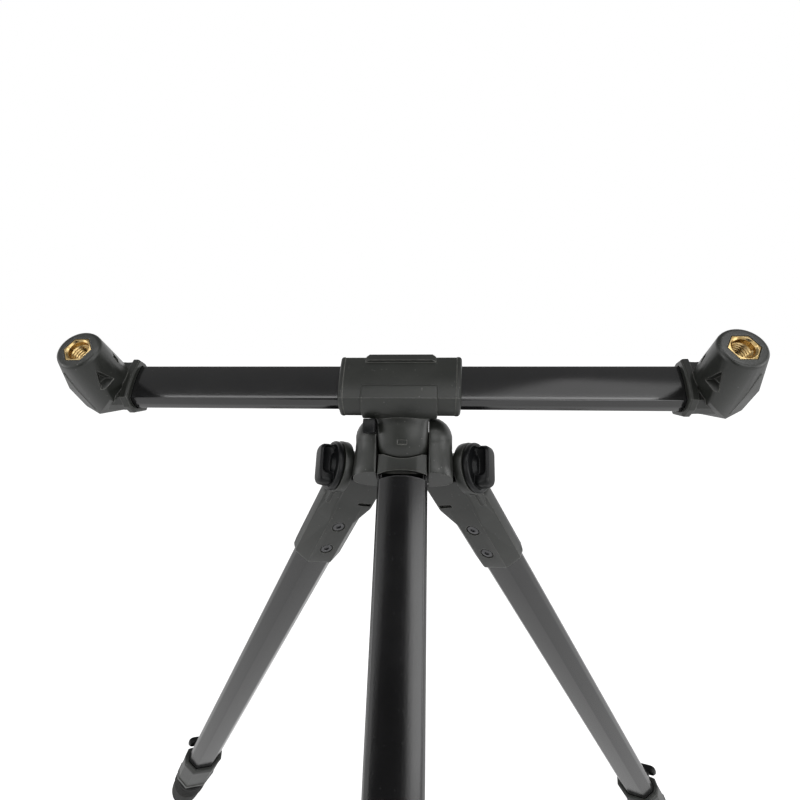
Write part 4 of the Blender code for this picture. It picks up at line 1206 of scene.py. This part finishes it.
@dataclass(frozen=True)
class Hub:
    """The hub: two domed ears, the web between them, the skirts and the side lugs."""

    ear: float = 10.7 * MM
    inside: float = 13.0 * MM
    half: float = 25.0 * MM
    dome: float = 11.0 * MM
    skirt: tuple[tuple[float, float, float], ...] = ((12.9, -8.5, -11.5), (24.5, -3.0, -18.0),
                                                     (12.9, 1.0, -23.5))

    def cheek(self) -> Shape:
        """Return the right cheek in the side view: rings that draw in towards its outer face."""
        centre = Vector((0.0, 0.0))
        ear = arc(centre, self.ear, -20.0, 180.0, 40)
        lower = [(-13.2, -4.5), (-15.5, -9.0), (-16.8, -12.5), (-17.0, -16.0), (-15.5, -20.0), (-12.0, -23.0),
                 (-6.0, -23.3), (0.0, -23.2), (6.0, -23.0), (10.5, -19.0), (13.5, -14.0), (12.2, -8.5)]
        outline = ear + [Vector(point) * MM for point in lower]
        weights = [1.0] * len(ear) + [0.85, 0.7, 0.55, 0.42, 0.36, 0.3, 0.3, 0.3, 0.3, 0.35, 0.5, 0.8]
        steps = [(self.inside + up * MM, inset * MM)
                 for up, inset in ((0.0, 0.7), (0.15, 0.35), (0.4, 0.1), (0.9, 0.0))]
        for turn in (0.0, 12.0, 24.0, 36.0, 48.0, 60.0, 70.0, 79.0):
            bend = math.radians(turn)
            steps.append((self.half - self.dome + self.dome * math.sin(bend),
                          self.dome * (1.0 - math.cos(bend))))
        steps.append((self.half, self.dome * 0.86))
        rings = [at_height(offset(outline, [-inset * weight for weight in weights]), height)
                 for height, inset in steps]
        return Shape.through(rings)

    def build(self, shop: Workshop) -> None:
        """Make the hub.

        Args:
            shop: finishes the pieces.
        """
        body = self.cheek().placed(PLACE.side_view)
        left = self.cheek().placed(PLACE.hub @ MIRROR @ PLACE.hub.inverted() @ PLACE.side_view)
        web = arc(Vector((0.0, 0.0)), Neck.crown + 1.4 * MM, -72.0, -18.0, 12)
        web += [Vector(point) * MM for point in ((19.0, -7.0), (15.5, -15.0), (6.5, -22.5), (0.5, -22.5),
                                                 (-1.0, -19.0))]
        span = self.inside + 2.0 * MM
        middle = Shape.slab(list(reversed(web)), -span, span).edged(0.5 * MM, 2)
        body.changed(also(left, middle.placed(PLACE.side_view)))
        for side in Side:
            mirror = PLACE.hub @ (MIRROR if side is Side.LEFT else Matrix.Identity(4))
            corners = [mirror @ (Vector(point) * MM) for point in self.skirt]
            normal = (corners[1] - corners[0]).cross(corners[2] - corners[0]).normalized()
            if normal.y > 0.0:
                normal.negate()
            far = 60.0 * MM
            beyond = Shape.block((-far, -far, 0.0), (far, far, far)).placed(facing(
                Matrix.Identity(4), corners[0], normal))
            half = Shape.block((0.0, -far, -far), (far, far, far)).placed(mirror)
            beyond.changed([(Operation.KEEP, half)])
            body.changed(less(beyond))
        body.changed(self.hinge_steps())
        place = PLACE.front_leg
        room = Shape.slab(FrontPanel().outline(GAP), FrontPanel.top - GAP, FrontPanel.shell_end)
        axle = Neck().axle + GAP
        reach = Neck.axle_half + GAP
        hole = Shape.drum(axle, -reach, reach, 32)
        body.changed(less(room.placed(place), hole.placed(PLACE.head)))
        shop.piece("hub_finished", body, Slot.PLASTIC, "base", ["hub"], 30.0)

    def hinge_steps(self) -> list[tuple[Operation, Shape]]:
        """Return the cuts and lugs for the side legs."""
        steps = []
        face = HINGE.boss_in - GAP
        for side in Side:
            base = PLACE.leg(side)
            seat = facing(base, (0.0, 0.0, 0.0), (-1.0, 0.0, 0.0))
            room = HINGE.boss_radius + 2.0 * GAP
            end = HINGE.boss_out + 3.0 * MM
            recess = Shape.drum(room, face, end)
            low = -HINGE.hood_inward - 2.0 * GAP
            groove = Shape.drum(HINGE.hood_room, low, face + MM).placed(seat)
            behind = Shape.block((-HINGE.boss_out, 0.0, -20.0 * MM),
                                 (HINGE.boss_out + HINGE.hood_inward, 20.0 * MM, 20.0 * MM)).placed(base)
            groove.changed(less(behind))
            lug = Shape.turned([(0.0, HINGE.lug_in), (HINGE.lug_radius, HINGE.lug_in),
                                (HINGE.lug_radius, face - 0.6 * MM), (HINGE.lug_radius - 0.6 * MM, face),
                                (HINGE.trunnion, face), (HINGE.trunnion, face + HINGE.trunnion_reach),
                                (0.0, face + HINGE.trunnion_reach)], 64)
            steps += less(recess.placed(seat), groove) + also(lug.placed(seat))
        return steps


# Screws, brackets and knobs


@dataclass(frozen=True)
class Screw:
    """A countersunk socket screw in the flat side of a bracket."""

    leg: str
    order: str
    place: Matrix
    height: float
    depth: float
    spots: ClassVar[dict[str, float]] = {"upper": 33.5 * MM, "lower": 52.4 * MM}
    radius: float = 3.8 * MM
    sunk: float = 1.3 * MM
    socket: float = 1.6 * MM

    @classmethod
    def pair(cls, leg: str, place: Matrix, shift: float, depth: float) -> list["Screw"]:
        """Return the upper and the lower screw of a bracket.

        Args:
            leg: the leg's name.
            place: the leg's frame.
            shift: how far down the leg the screws are moved from their usual spots.
            depth: where the bracket's flat side lies.

        Returns:
            Both screws.
        """
        return [cls(leg, order, place, spot + shift, depth) for order, spot in cls.spots.items()]

    @property
    def frame(self) -> Matrix:
        """Return the screw's frame, with Z out of the bracket."""
        return facing(self.place, (0.0, self.depth, self.height), (0.0, -1.0, 0.0))

    def seat(self) -> Shape:
        """Return the tool that cuts the screw's seat."""
        low = -self.sunk - GAP
        profile = [(0.0, low), (0.45 * self.radius + GAP, low), (self.radius, -0.9 * MM), (self.radius, MM),
                   (0.0, MM)]
        return Shape.turned(profile, 40).placed(self.frame)

    def build(self, shop: Workshop, body: str) -> None:
        """Make the screw's head with its hexagon socket.

        Args:
            shop: finishes the pieces.
            body: the body on which the screw rides.
        """
        head = self.radius - 2.0 * GAP
        low = -self.sunk
        profile = [(0.0, low), (0.45 * self.radius, low), (head - 0.05 * MM, -0.95 * MM), (head, -0.60 * MM),
                   (head - 0.15 * MM, -0.25 * MM), (1.7 * self.socket, -0.12 * MM), (0.0, -0.12 * MM)]
        screw = Shape.turned(profile, 40)
        screw.changed(less(Shape.slab(circle(self.socket, 6), -0.9 * MM, MM)))
        name = self.leg + "_screw_" + self.order
        shop.piece(name + "_head", screw.placed(self.frame), Slot.STEEL, body, [name], 25.0)


@dataclass(frozen=True)
class SideBracket:
    """A side leg's bracket: boss, hood and the shell round the tube."""

    side: Side
    wall: float = 2.0 * MM
    top: float = 13.2 * MM
    end: float = 66.0 * MM
    solid: float = 10.0 * MM

    def build(self, shop: Workshop) -> None:
        """Make the bracket and its screws.

        Args:
            shop: finishes the pieces.
        """
        base = PLACE.leg(self.side)
        word = self.side.word
        steps = ((self.top, -3.2), (self.top + 0.9 * MM, -1.2), (self.top + 2.2 * MM, -0.3),
                 (self.top + 4.0 * MM, 0.0), (self.end - 2.4 * MM, 0.0), (self.end - 0.8 * MM, -0.5),
                 (self.end, -1.1))
        body = Shape.through([at_height(BOW.outline(self.wall + grow * MM), height)
                              for height, grow in steps])
        disc = facing(base, (-HINGE.boss_in, 0.0, 0.0), (-1.0, 0.0, 0.0))
        thick = HINGE.boss_out - HINGE.boss_in
        radius = HINGE.boss_radius
        boss = Shape.turned([(0.0, 0.0), (radius - 1.0 * MM, 0.0), (radius - 0.2 * MM, 0.35 * MM),
                             (radius, 1.0 * MM), (radius, thick - 0.9 * MM),
                             (radius - 0.25 * MM, thick - 0.3 * MM), (radius - 0.9 * MM, thick),
                             (0.0, thick)], 80).placed(disc)
        front = -BOW.flat_drop * BOW.width - self.wall
        behind = BOW.crease_rise * BOW.width + self.wall
        cheek = Shape.block((-HINGE.boss_out, 0.75 * front, 0.0),
                            (-HINGE.boss_in, behind, self.top + 6.0 * MM))
        cheek.edged(1.2 * MM, 3, 60.0).placed(base)
        inner = HINGE.lug_radius + GAP
        low = -HINGE.boss_in - MM
        wide = HINGE.hood_inward
        foot = self.top + 6.0 * MM
        rear = -0.3 * inner
        crest = HINGE.hood_top
        corners = [Vector((across, out, up)) for across, up in (
            (low, crest), (wide - 4.0 * MM, crest), (wide - 1.2 * MM, crest + 1.2 * MM),
            (wide, crest + 4.0 * MM), (wide, foot - 3.0 * MM), (low, foot)) for out in (front, rear)]
        section = [point for point in BOW.outline(self.wall - 0.05 * MM) if point.y < 0.0]
        hood = Shape.hull(corners + at_height(section, foot + 11.0 * MM))
        hood.edged(1.5 * MM, 4, 25.0).placed(base)
        room = Shape.drum(inner, -HINGE.hood_inward - 10.0 * MM, 0.0).placed(disc)
        hole = Shape.drum(HINGE.trunnion + GAP, -MM, thick + MM, 40).placed(disc)
        bore = Shape.slab(BOW.outline(GAP), self.top + self.solid, self.end + 2.0 * MM).placed(base)
        slot = Shape.block((3.9 * MM, front - MM, 13.0 * MM), (11.4 * MM, front + 1.6 * MM, 15.1 * MM))
        slot.placed(base)
        body.placed(base).changed(also(boss, cheek, hood) + less(room, hole, bore, slot))
        screws = Screw.pair(word, base, 0.0, front)
        body.changed(less(*[screw.seat() for screw in screws]))
        shop.piece(word + "_bracket_finished", body, Slot.PLASTIC, word + "_leg", [word + "_bracket"], 30.0)
        for screw in screws:
            screw.build(shop, word + "_leg")


@dataclass(frozen=True)
class WingKnob:
    """The wing knob that locks a side leg."""

    side: Side
    flange: float = 13.1 * MM
    thick: float = 3.0 * MM
    reach: float = 9.8 * MM
    half: float = 10.8 * MM
    depth: float = 4.6 * MM
    stub: float = 3.4 * MM
    stub_length: float = 2.2 * MM
    turn: float = math.radians(31.0)
    ledge: float = 5.4 * MM
    lip: float = 1.3 * MM
    scoop: float = 1.9 * MM

    def frame(self, seat: Matrix) -> Matrix:
        """Return the wing's frame: X along the wing, Z out of the knob.

        Args:
            seat: the frame of the knob's seat, with Z out of it.

        Returns:
            The frame.
        """
        outward = (seat.to_3x3() @ UP).normalized()
        upward = (UP - outward * outward.z).normalized()
        behind = outward.cross(upward)
        if behind.y < 0.0:
            behind.negate()
        along = math.cos(self.turn) * upward + math.sin(self.turn) * behind
        return axes(seat.translation, along, outward.cross(along), outward)

    def tray(self, face: float) -> Shape:
        """Return the tool that scoops one face of the wing, open towards the flange.

        Args:
            face: 1 or -1, the side of the wing along Y.

        Returns:
            The tool.
        """
        low = self.thick - 1.2 * MM
        high = self.reach - self.lip
        half_x = self.half - 0.5 * (self.ledge + self.lip)
        half_z = 0.5 * (high - low)
        middle = Vector((0.5 * (self.ledge - self.lip), 0.0, 0.5 * (high + low)))
        points = []
        for level, inset in ((self.depth + 1.0 * MM, -0.7 * MM), (self.depth - 0.2 * MM, 0.0),
                             (self.depth - 0.8 * self.scoop, 0.7 * MM), (self.depth - self.scoop, 1.6 * MM)):
            outline = round_box(half_x - inset, half_z - inset, 2.4 * MM - 0.4 * inset, 5)
            points += [middle + Vector((point.x, face * level, point.y)) for point in outline]
        return Shape.hull(points)

    def build(self, shop: Workshop) -> None:
        """Make the knob: a dished flange and a wing with a tray on each face.

        Args:
            shop: finishes the pieces.
        """
        seat = facing(PLACE.leg(self.side), (-HINGE.boss_out - GAP, 0.0, 0.0), (-1.0, 0.0, 0.0))
        place = self.frame(seat)
        rim = self.flange
        top = self.thick
        end = -self.stub_length
        flange = Shape.turned([(0.0, end), (self.stub, end), (self.stub, 0.0), (rim - 0.8 * MM, 0.0),
                               (rim - 0.2 * MM, 0.3 * MM), (rim, 1.0 * MM), (rim, top - 1.1 * MM),
                               (rim - 0.3 * MM, top - 0.4 * MM), (rim - 1.0 * MM, top),
                               (rim - 2.0 * MM, top - 0.2 * MM), (rim - 3.0 * MM, top - 0.9 * MM),
                               (7.0 * MM, top - 0.6 * MM), (5.0 * MM, top + 1.0 * MM),
                               (0.0, top + 1.2 * MM)], 80)
        rings = []
        low = self.thick - 2.0 * MM
        for part, grow in ((0.0, -0.6), (0.2, -0.1), (0.55, 0.0), (0.8, -0.25), (0.92, -0.9), (0.98, -1.8),
                           (1.0, -2.8)):
            outline = round_box(self.half + grow * MM, self.depth + 0.5 * grow * MM, 0.62 * self.depth, 8)
            rings.append(at_height(outline, low + (self.reach - low) * part))
        wing = Shape.through(rings)
        wing.changed(less(self.tray(1.0), self.tray(-1.0)))
        flange.changed(also(wing))
        word = self.side.word
        shop.piece(word + "_wing_knob", flange.placed(place), Slot.KNOB, word + "_knob",
                   [word + "_fold_knob"], 32.0)


# Legs


@dataclass(frozen=True)
class Leg:
    """A leg below its bracket: upper tube, lock collar, thumb screw, lower tube and foot."""

    word: str
    place: Matrix
    shift: float
    tube_top: float
    body: str
    arch: float = 0.0
    collar_wall: float = 3.2 * MM
    foot_radius: float = 13.0 * MM
    foot_neck: float = 14.0 * MM
    foot_height: float = 34.0 * MM

    @property
    def tube_end(self) -> float:
        """Return where the upper tube ends."""
        return PLACE.upper_end + self.shift

    @property
    def reach(self) -> float:
        """Return where the foot's ball has its centre."""
        return PLACE.leg_reach + self.shift

    def build(self, shop: Workshop) -> None:
        """Make the leg's pieces.

        Args:
            shop: finishes the pieces.
        """
        tube = pipe_of(BOW.outline(), BOW.wall, self.tube_top, self.tube_end, 0.55 * MM)
        if self.arch > 0.0:
            centre = self.tube_top - GAP - FrontPanel.arch_lift + FrontPanel.arch
            top = Shape.block((-20.0 * MM, FrontPanel.arch_front, self.tube_top - MM),
                              (20.0 * MM, 20.0 * MM, centre))
            drum = Shape.drum(self.arch, 0.0, 30.0 * MM, 128)
            drum.placed(Matrix.Translation((0.0, 0.0, centre)) @ Matrix.Rotation(math.radians(-90.0), 4, "X"))
            tube.changed(less(top.changed(less(drum))))
        shop.piece(self.word + "_upper_leg", tube.placed(self.place), Slot.TUBE, self.body,
                   [self.word + "_upper_tube"], 50.0)
        self.collar(shop)
        self.thumb(shop)
        self.lower(shop)

    @property
    def thumb_frame(self) -> Matrix:
        """Return the thumb screw's frame, on the collar's crown."""
        crest = BOW.crease_rise * BOW.width + BOW.crown + self.collar_wall
        return facing(self.place, (0.0, crest, self.tube_end - 10.0 * MM), (0.0, 1.0, 0.0))

    def collar(self, shop: Workshop) -> None:
        """Make the lock collar with its rolled ends and the thumb screw's boss.

        Args:
            shop: finishes the pieces.
        """
        low = self.tube_end - 27.0 * MM
        high = self.tube_end + 7.0 * MM
        steps = ((0.0, -1.2), (0.4, -0.4), (1.2, 0.0), (4.0, 0.0), (4.4, -0.5), (29.6, -0.5), (30.0, 0.0),
                 (32.8, 0.0), (33.6, -0.4), (34.0, -1.2))
        body = Shape.through([at_height(BOW.outline(self.collar_wall + grow * MM), low + up * MM)
                              for up, grow in steps])
        seat = self.place.inverted() @ self.thumb_frame
        boss = Shape.turned([(0.0, -3.0 * MM), (5.6 * MM, -3.0 * MM), (5.6 * MM, 4.4 * MM),
                             (5.0 * MM, 5.0 * MM), (0.0, 5.0 * MM)], 40).placed(seat)
        step = self.tube_end + GAP
        wide = Shape.slab(BOW.outline(GAP), low - MM, step)
        narrow = Shape.slab(BOW.outline(-BOW.wall), step - MM, high + MM)
        hole = Shape.drum(3.3 * MM, -1.5 * MM, 9.0 * MM, 32).placed(seat)
        body.changed(also(boss) + less(wide, narrow, hole))
        shop.piece(self.word + "_collar", body.placed(self.place), Slot.PLASTIC, self.body,
                   [self.word + "_lock_collar"], 30.0)

    def thumb(self, shop: Workshop) -> None:
        """Make the thumb screw.

        Args:
            shop: finishes the pieces.
        """
        base = 5.3 * MM
        knob = Shape.turned([(0.0, GAP), (3.0 * MM, GAP), (3.0 * MM, base), (5.2 * MM, base),
                             (5.6 * MM, base + 0.4 * MM), (5.6 * MM, base + 2.1 * MM),
                             (4.6 * MM, base + 3.5 * MM), (0.0, base + 3.5 * MM)], 48)
        rings = []
        for part, grow in ((0.0, -1.5), (0.25, -0.3), (0.6, 0.0), (0.85, -0.4), (0.96, -1.2), (1.0, -2.2)):
            outline = round_box((11.0 + grow) * MM, (4.0 + 0.4 * grow) * MM, 2.6 * MM, 6)
            rings.append(at_height(outline, base + (1.5 + 5.2 * part) * MM))
        knob.changed(also(Shape.through(rings)))
        shop.piece(self.word + "_thumb_knob", knob.placed(self.thumb_frame), Slot.KNOB, self.word + "_thumb",
                   [self.word + "_thumb_screw"], 32.0)

    def lower(self, shop: Workshop) -> None:
        """Make the lower tube and the ribbed rubber foot.

        Args:
            shop: finishes the pieces.
        """
        end = self.reach - self.foot_height + 18.0 * MM
        inner = BOW.outline(-BOW.wall - GAP)
        tube = pipe_of(inner, 1.2 * MM, end - 350.0 * MM, end, 0.4 * MM)
        shop.piece(self.word + "_lower_leg", tube.placed(self.place), Slot.TUBE, self.word + "_lower",
                   [self.word + "_lower_tube"], 50.0)
        top = self.reach - self.foot_height
        neck = self.foot_neck
        profile = [(0.0, top), (neck - 1.0 * MM, top), (neck, top + 1.0 * MM)]
        for rib in range(4):
            low = top + (3.2 + 3.4 * rib) * MM
            profile += [(neck, low), (neck - 0.7 * MM, low + 0.5 * MM), (neck - 0.7 * MM, low + 1.2 * MM),
                        (neck, low + 1.7 * MM)]
        profile += [(neck, self.reach - 15.5 * MM), (self.foot_radius, self.reach - 12.0 * MM)]
        profile += [(0.99 * self.foot_radius * math.cos(turn),
                     self.reach + self.foot_radius * math.sin(turn))
                    for turn in (math.radians(step) for step in range(0, 91, 9))]
        foot = Shape.turned(profile, 56)
        pocket = Shape.slab(offset(inner, [GAP] * len(inner)), top - 2.0 * MM, top + 18.3 * MM)
        foot.changed(less(pocket))
        shop.piece(self.word + "_rubber_foot", foot.placed(self.place), Slot.RUBBER, self.word + "_lower",
                   [self.word + "_foot"], 40.0)


# The studio


@dataclass(frozen=True)
class Softbox:
    """A soft area lamp."""

    name: str
    spot: tuple[float, float, float]
    aim: tuple[float, float, float]
    width: float
    height: float
    power: float

    def build(self) -> None:
        """Make the lamp and turn it towards its aim."""
        data = bpy.data.lights.new(self.name, "AREA")
        data.shape = "RECTANGLE"
        data.size = self.width
        data.size_y = self.height
        data.energy = self.power
        lamp = bpy.data.objects.new(self.name, data)
        lamp.location = self.spot
        lamp.rotation_euler = (Vector(self.aim) - Vector(self.spot)).to_track_quat("-Z", "Y").to_euler()
        lamp.visible_camera = False
        bpy.context.scene.collection.objects.link(lamp)


SOFTBOXES = (
    Softbox("left_softbox", (-1.1, -0.35, 0.45), (0.0, 0.0, 0.38), 0.5, 0.6, 1.5),
    Softbox("right_softbox", (1.1, -0.35, 0.45), (0.0, 0.0, 0.38), 0.5, 0.6, 2.0),
    Softbox("front_right_softbox", (0.46, -1.05, 0.85), (0.0, 0.0, 0.38), 0.6, 0.8, 2.0),
    Softbox("overhead_right_softbox", (0.50, -0.20, 1.30), (0.10, 0.0, 0.42), 0.5, 0.6, 0.8),
    Softbox("top_front_softbox", (0.0, -0.42, 1.32), (0.0, 0.0, 0.40), 1.7, 0.26, 3.2),
)


def studio_item(name: str, shape: Shape, grey: float) -> tuple[bpy.types.Object, bpy.types.Material]:
    """Make a matt piece of the studio, which is no part of the tripod.

    Args:
        name: its name.
        shape: its mesh.
        grey: how light its colour is.

    Returns:
        The object and its material.
    """
    data = shape.data(name)
    item = bpy.data.objects.new(name, data)
    bpy.context.scene.collection.objects.link(item)
    made = bpy.data.materials.new(name)
    made.use_nodes = True
    shader = made.node_tree.nodes["Principled BSDF"]
    shader.inputs["Base Color"].default_value = (grey, grey, grey, 1.0)
    shader.inputs["Roughness"].default_value = 0.9
    data.materials.append(made)
    return item, made


@dataclass(frozen=True)
class Studio:
    """The pale floor, the white surroundings, the lamps and the camera."""

    ambient: float = 0.55
    overhead: float = 0.24
    floor_glow: float = 0.90
    floor_sheen: float = 0.40
    lens: float = 19.60232
    camera_spot: Vector = Vector((13.737, -211.830, 60.158)) * MM
    camera_turn: tuple[float, float, float] = (80.16289, 0.38735, 4.00402)

    def build(self) -> None:
        """Make the whole studio."""
        self.world()
        self.floor()
        self.flag()
        for softbox in SOFTBOXES:
            softbox.build()
        data = bpy.data.cameras.new("camera")
        data.lens = self.lens
        data.sensor_width = 36.0
        data.clip_start = 0.01
        camera = bpy.data.objects.new("camera", data)
        camera.location = PLACE.hub @ self.camera_spot
        camera.rotation_euler = [math.radians(turn) for turn in self.camera_turn]
        bpy.context.scene.collection.objects.link(camera)
        bpy.context.scene.camera = camera
        bpy.context.scene.view_settings.view_transform = "Standard"

    def flag(self) -> None:
        """Make the dark board behind the camera, which the front tube's face reflects."""
        shape = Shape.block((-0.48, -1.12, 0.02), (0.14, -1.10, 2.40))
        board, _ = studio_item("dark_board", shape, 0.01)
        board.visible_camera = False

    def world(self) -> None:
        """Make the surroundings: white up to well above the horizon, darker overhead."""
        world = bpy.data.worlds.new("studio")
        bpy.context.scene.world = world
        world.use_nodes = True
        graph = Graph(world.node_tree)
        back = world.node_tree.nodes["Background"]
        spot = graph.node("ShaderNodeTexCoord").outputs["Generated"]
        rise = graph.node("ShaderNodeVectorMath", {0: spot, 1: (0.0, 0.17, 0.985)}, operation="DOT_PRODUCT")
        seen = graph.ramp(rise.outputs["Value"], 0.28, 0.72, 1.0, self.overhead)
        path = graph.node("ShaderNodeLightPath").outputs
        direct = graph.math("MAXIMUM", path["Is Glossy Ray"], path["Is Transmission Ray"])
        soft = graph.math("MULTIPLY", seen, self.ambient)
        bounced = graph.node("ShaderNodeMix", {"Factor": direct, "A": soft, "B": seen}, data_type="FLOAT")
        level = graph.node("ShaderNodeMix", {"Factor": path["Is Camera Ray"], "A": bounced.outputs[0],
                                             "B": 1.0}, data_type="FLOAT")
        back.inputs["Color"].default_value = (1.0, 1.0, 1.0, 1.0)
        world.node_tree.links.new(level.outputs[0], back.inputs["Strength"])

    def floor(self) -> None:
        """Make the pale floor, which keeps the tripod's shadow."""
        shape = Shape()
        bmesh.ops.create_grid(shape.mesh, x_segments=1, y_segments=1, size=6.0)
        floor, made = studio_item("floor", shape, 0.86)
        floor.location = (0.0, 0.0, -0.0002)
        graph = Graph(made.node_tree)
        shader = made.node_tree.nodes["Principled BSDF"]
        shader.inputs["Specular IOR Level"].default_value = 0.1
        path = graph.node("ShaderNodeLightPath").outputs
        seen = graph.math("MULTIPLY", path["Is Camera Ray"], self.floor_glow)
        glow = graph.math("ADD", seen, graph.math("MULTIPLY", path["Is Glossy Ray"], self.floor_sheen))
        shader.inputs["Emission Color"].default_value = (1.0, 1.0, 1.0, 1.0)
        made.node_tree.links.new(glow, shader.inputs["Emission Strength"])


def main() -> None:
    """Build every piece, then the studio."""
    logging.basicConfig(level=logging.INFO, format="%(message)s")
    shop = Workshop()
    Hub().build(shop)
    FrontPanel().build(shop)
    Crossbar().build(shop)
    Clamp().build(shop)
    Neck().build(shop)
    LockLever().build(shop)
    Leg("front", PLACE.front_leg, PLACE.front_shift, FrontPanel.tube_top + GAP, "base",
        FrontPanel.arch - 2.3 * MM).build(shop)
    for side in Side:
        EndCap(side).build(shop)
        SideBracket(side).build(shop)
        WingKnob(side).build(shop)
        top = SideBracket.top + SideBracket.solid + GAP
        Leg(side.word, PLACE.leg(side), 0.0, top, side.word + "_leg").build(shop)
    Studio().build()


if __name__ == "__main__":
    main()
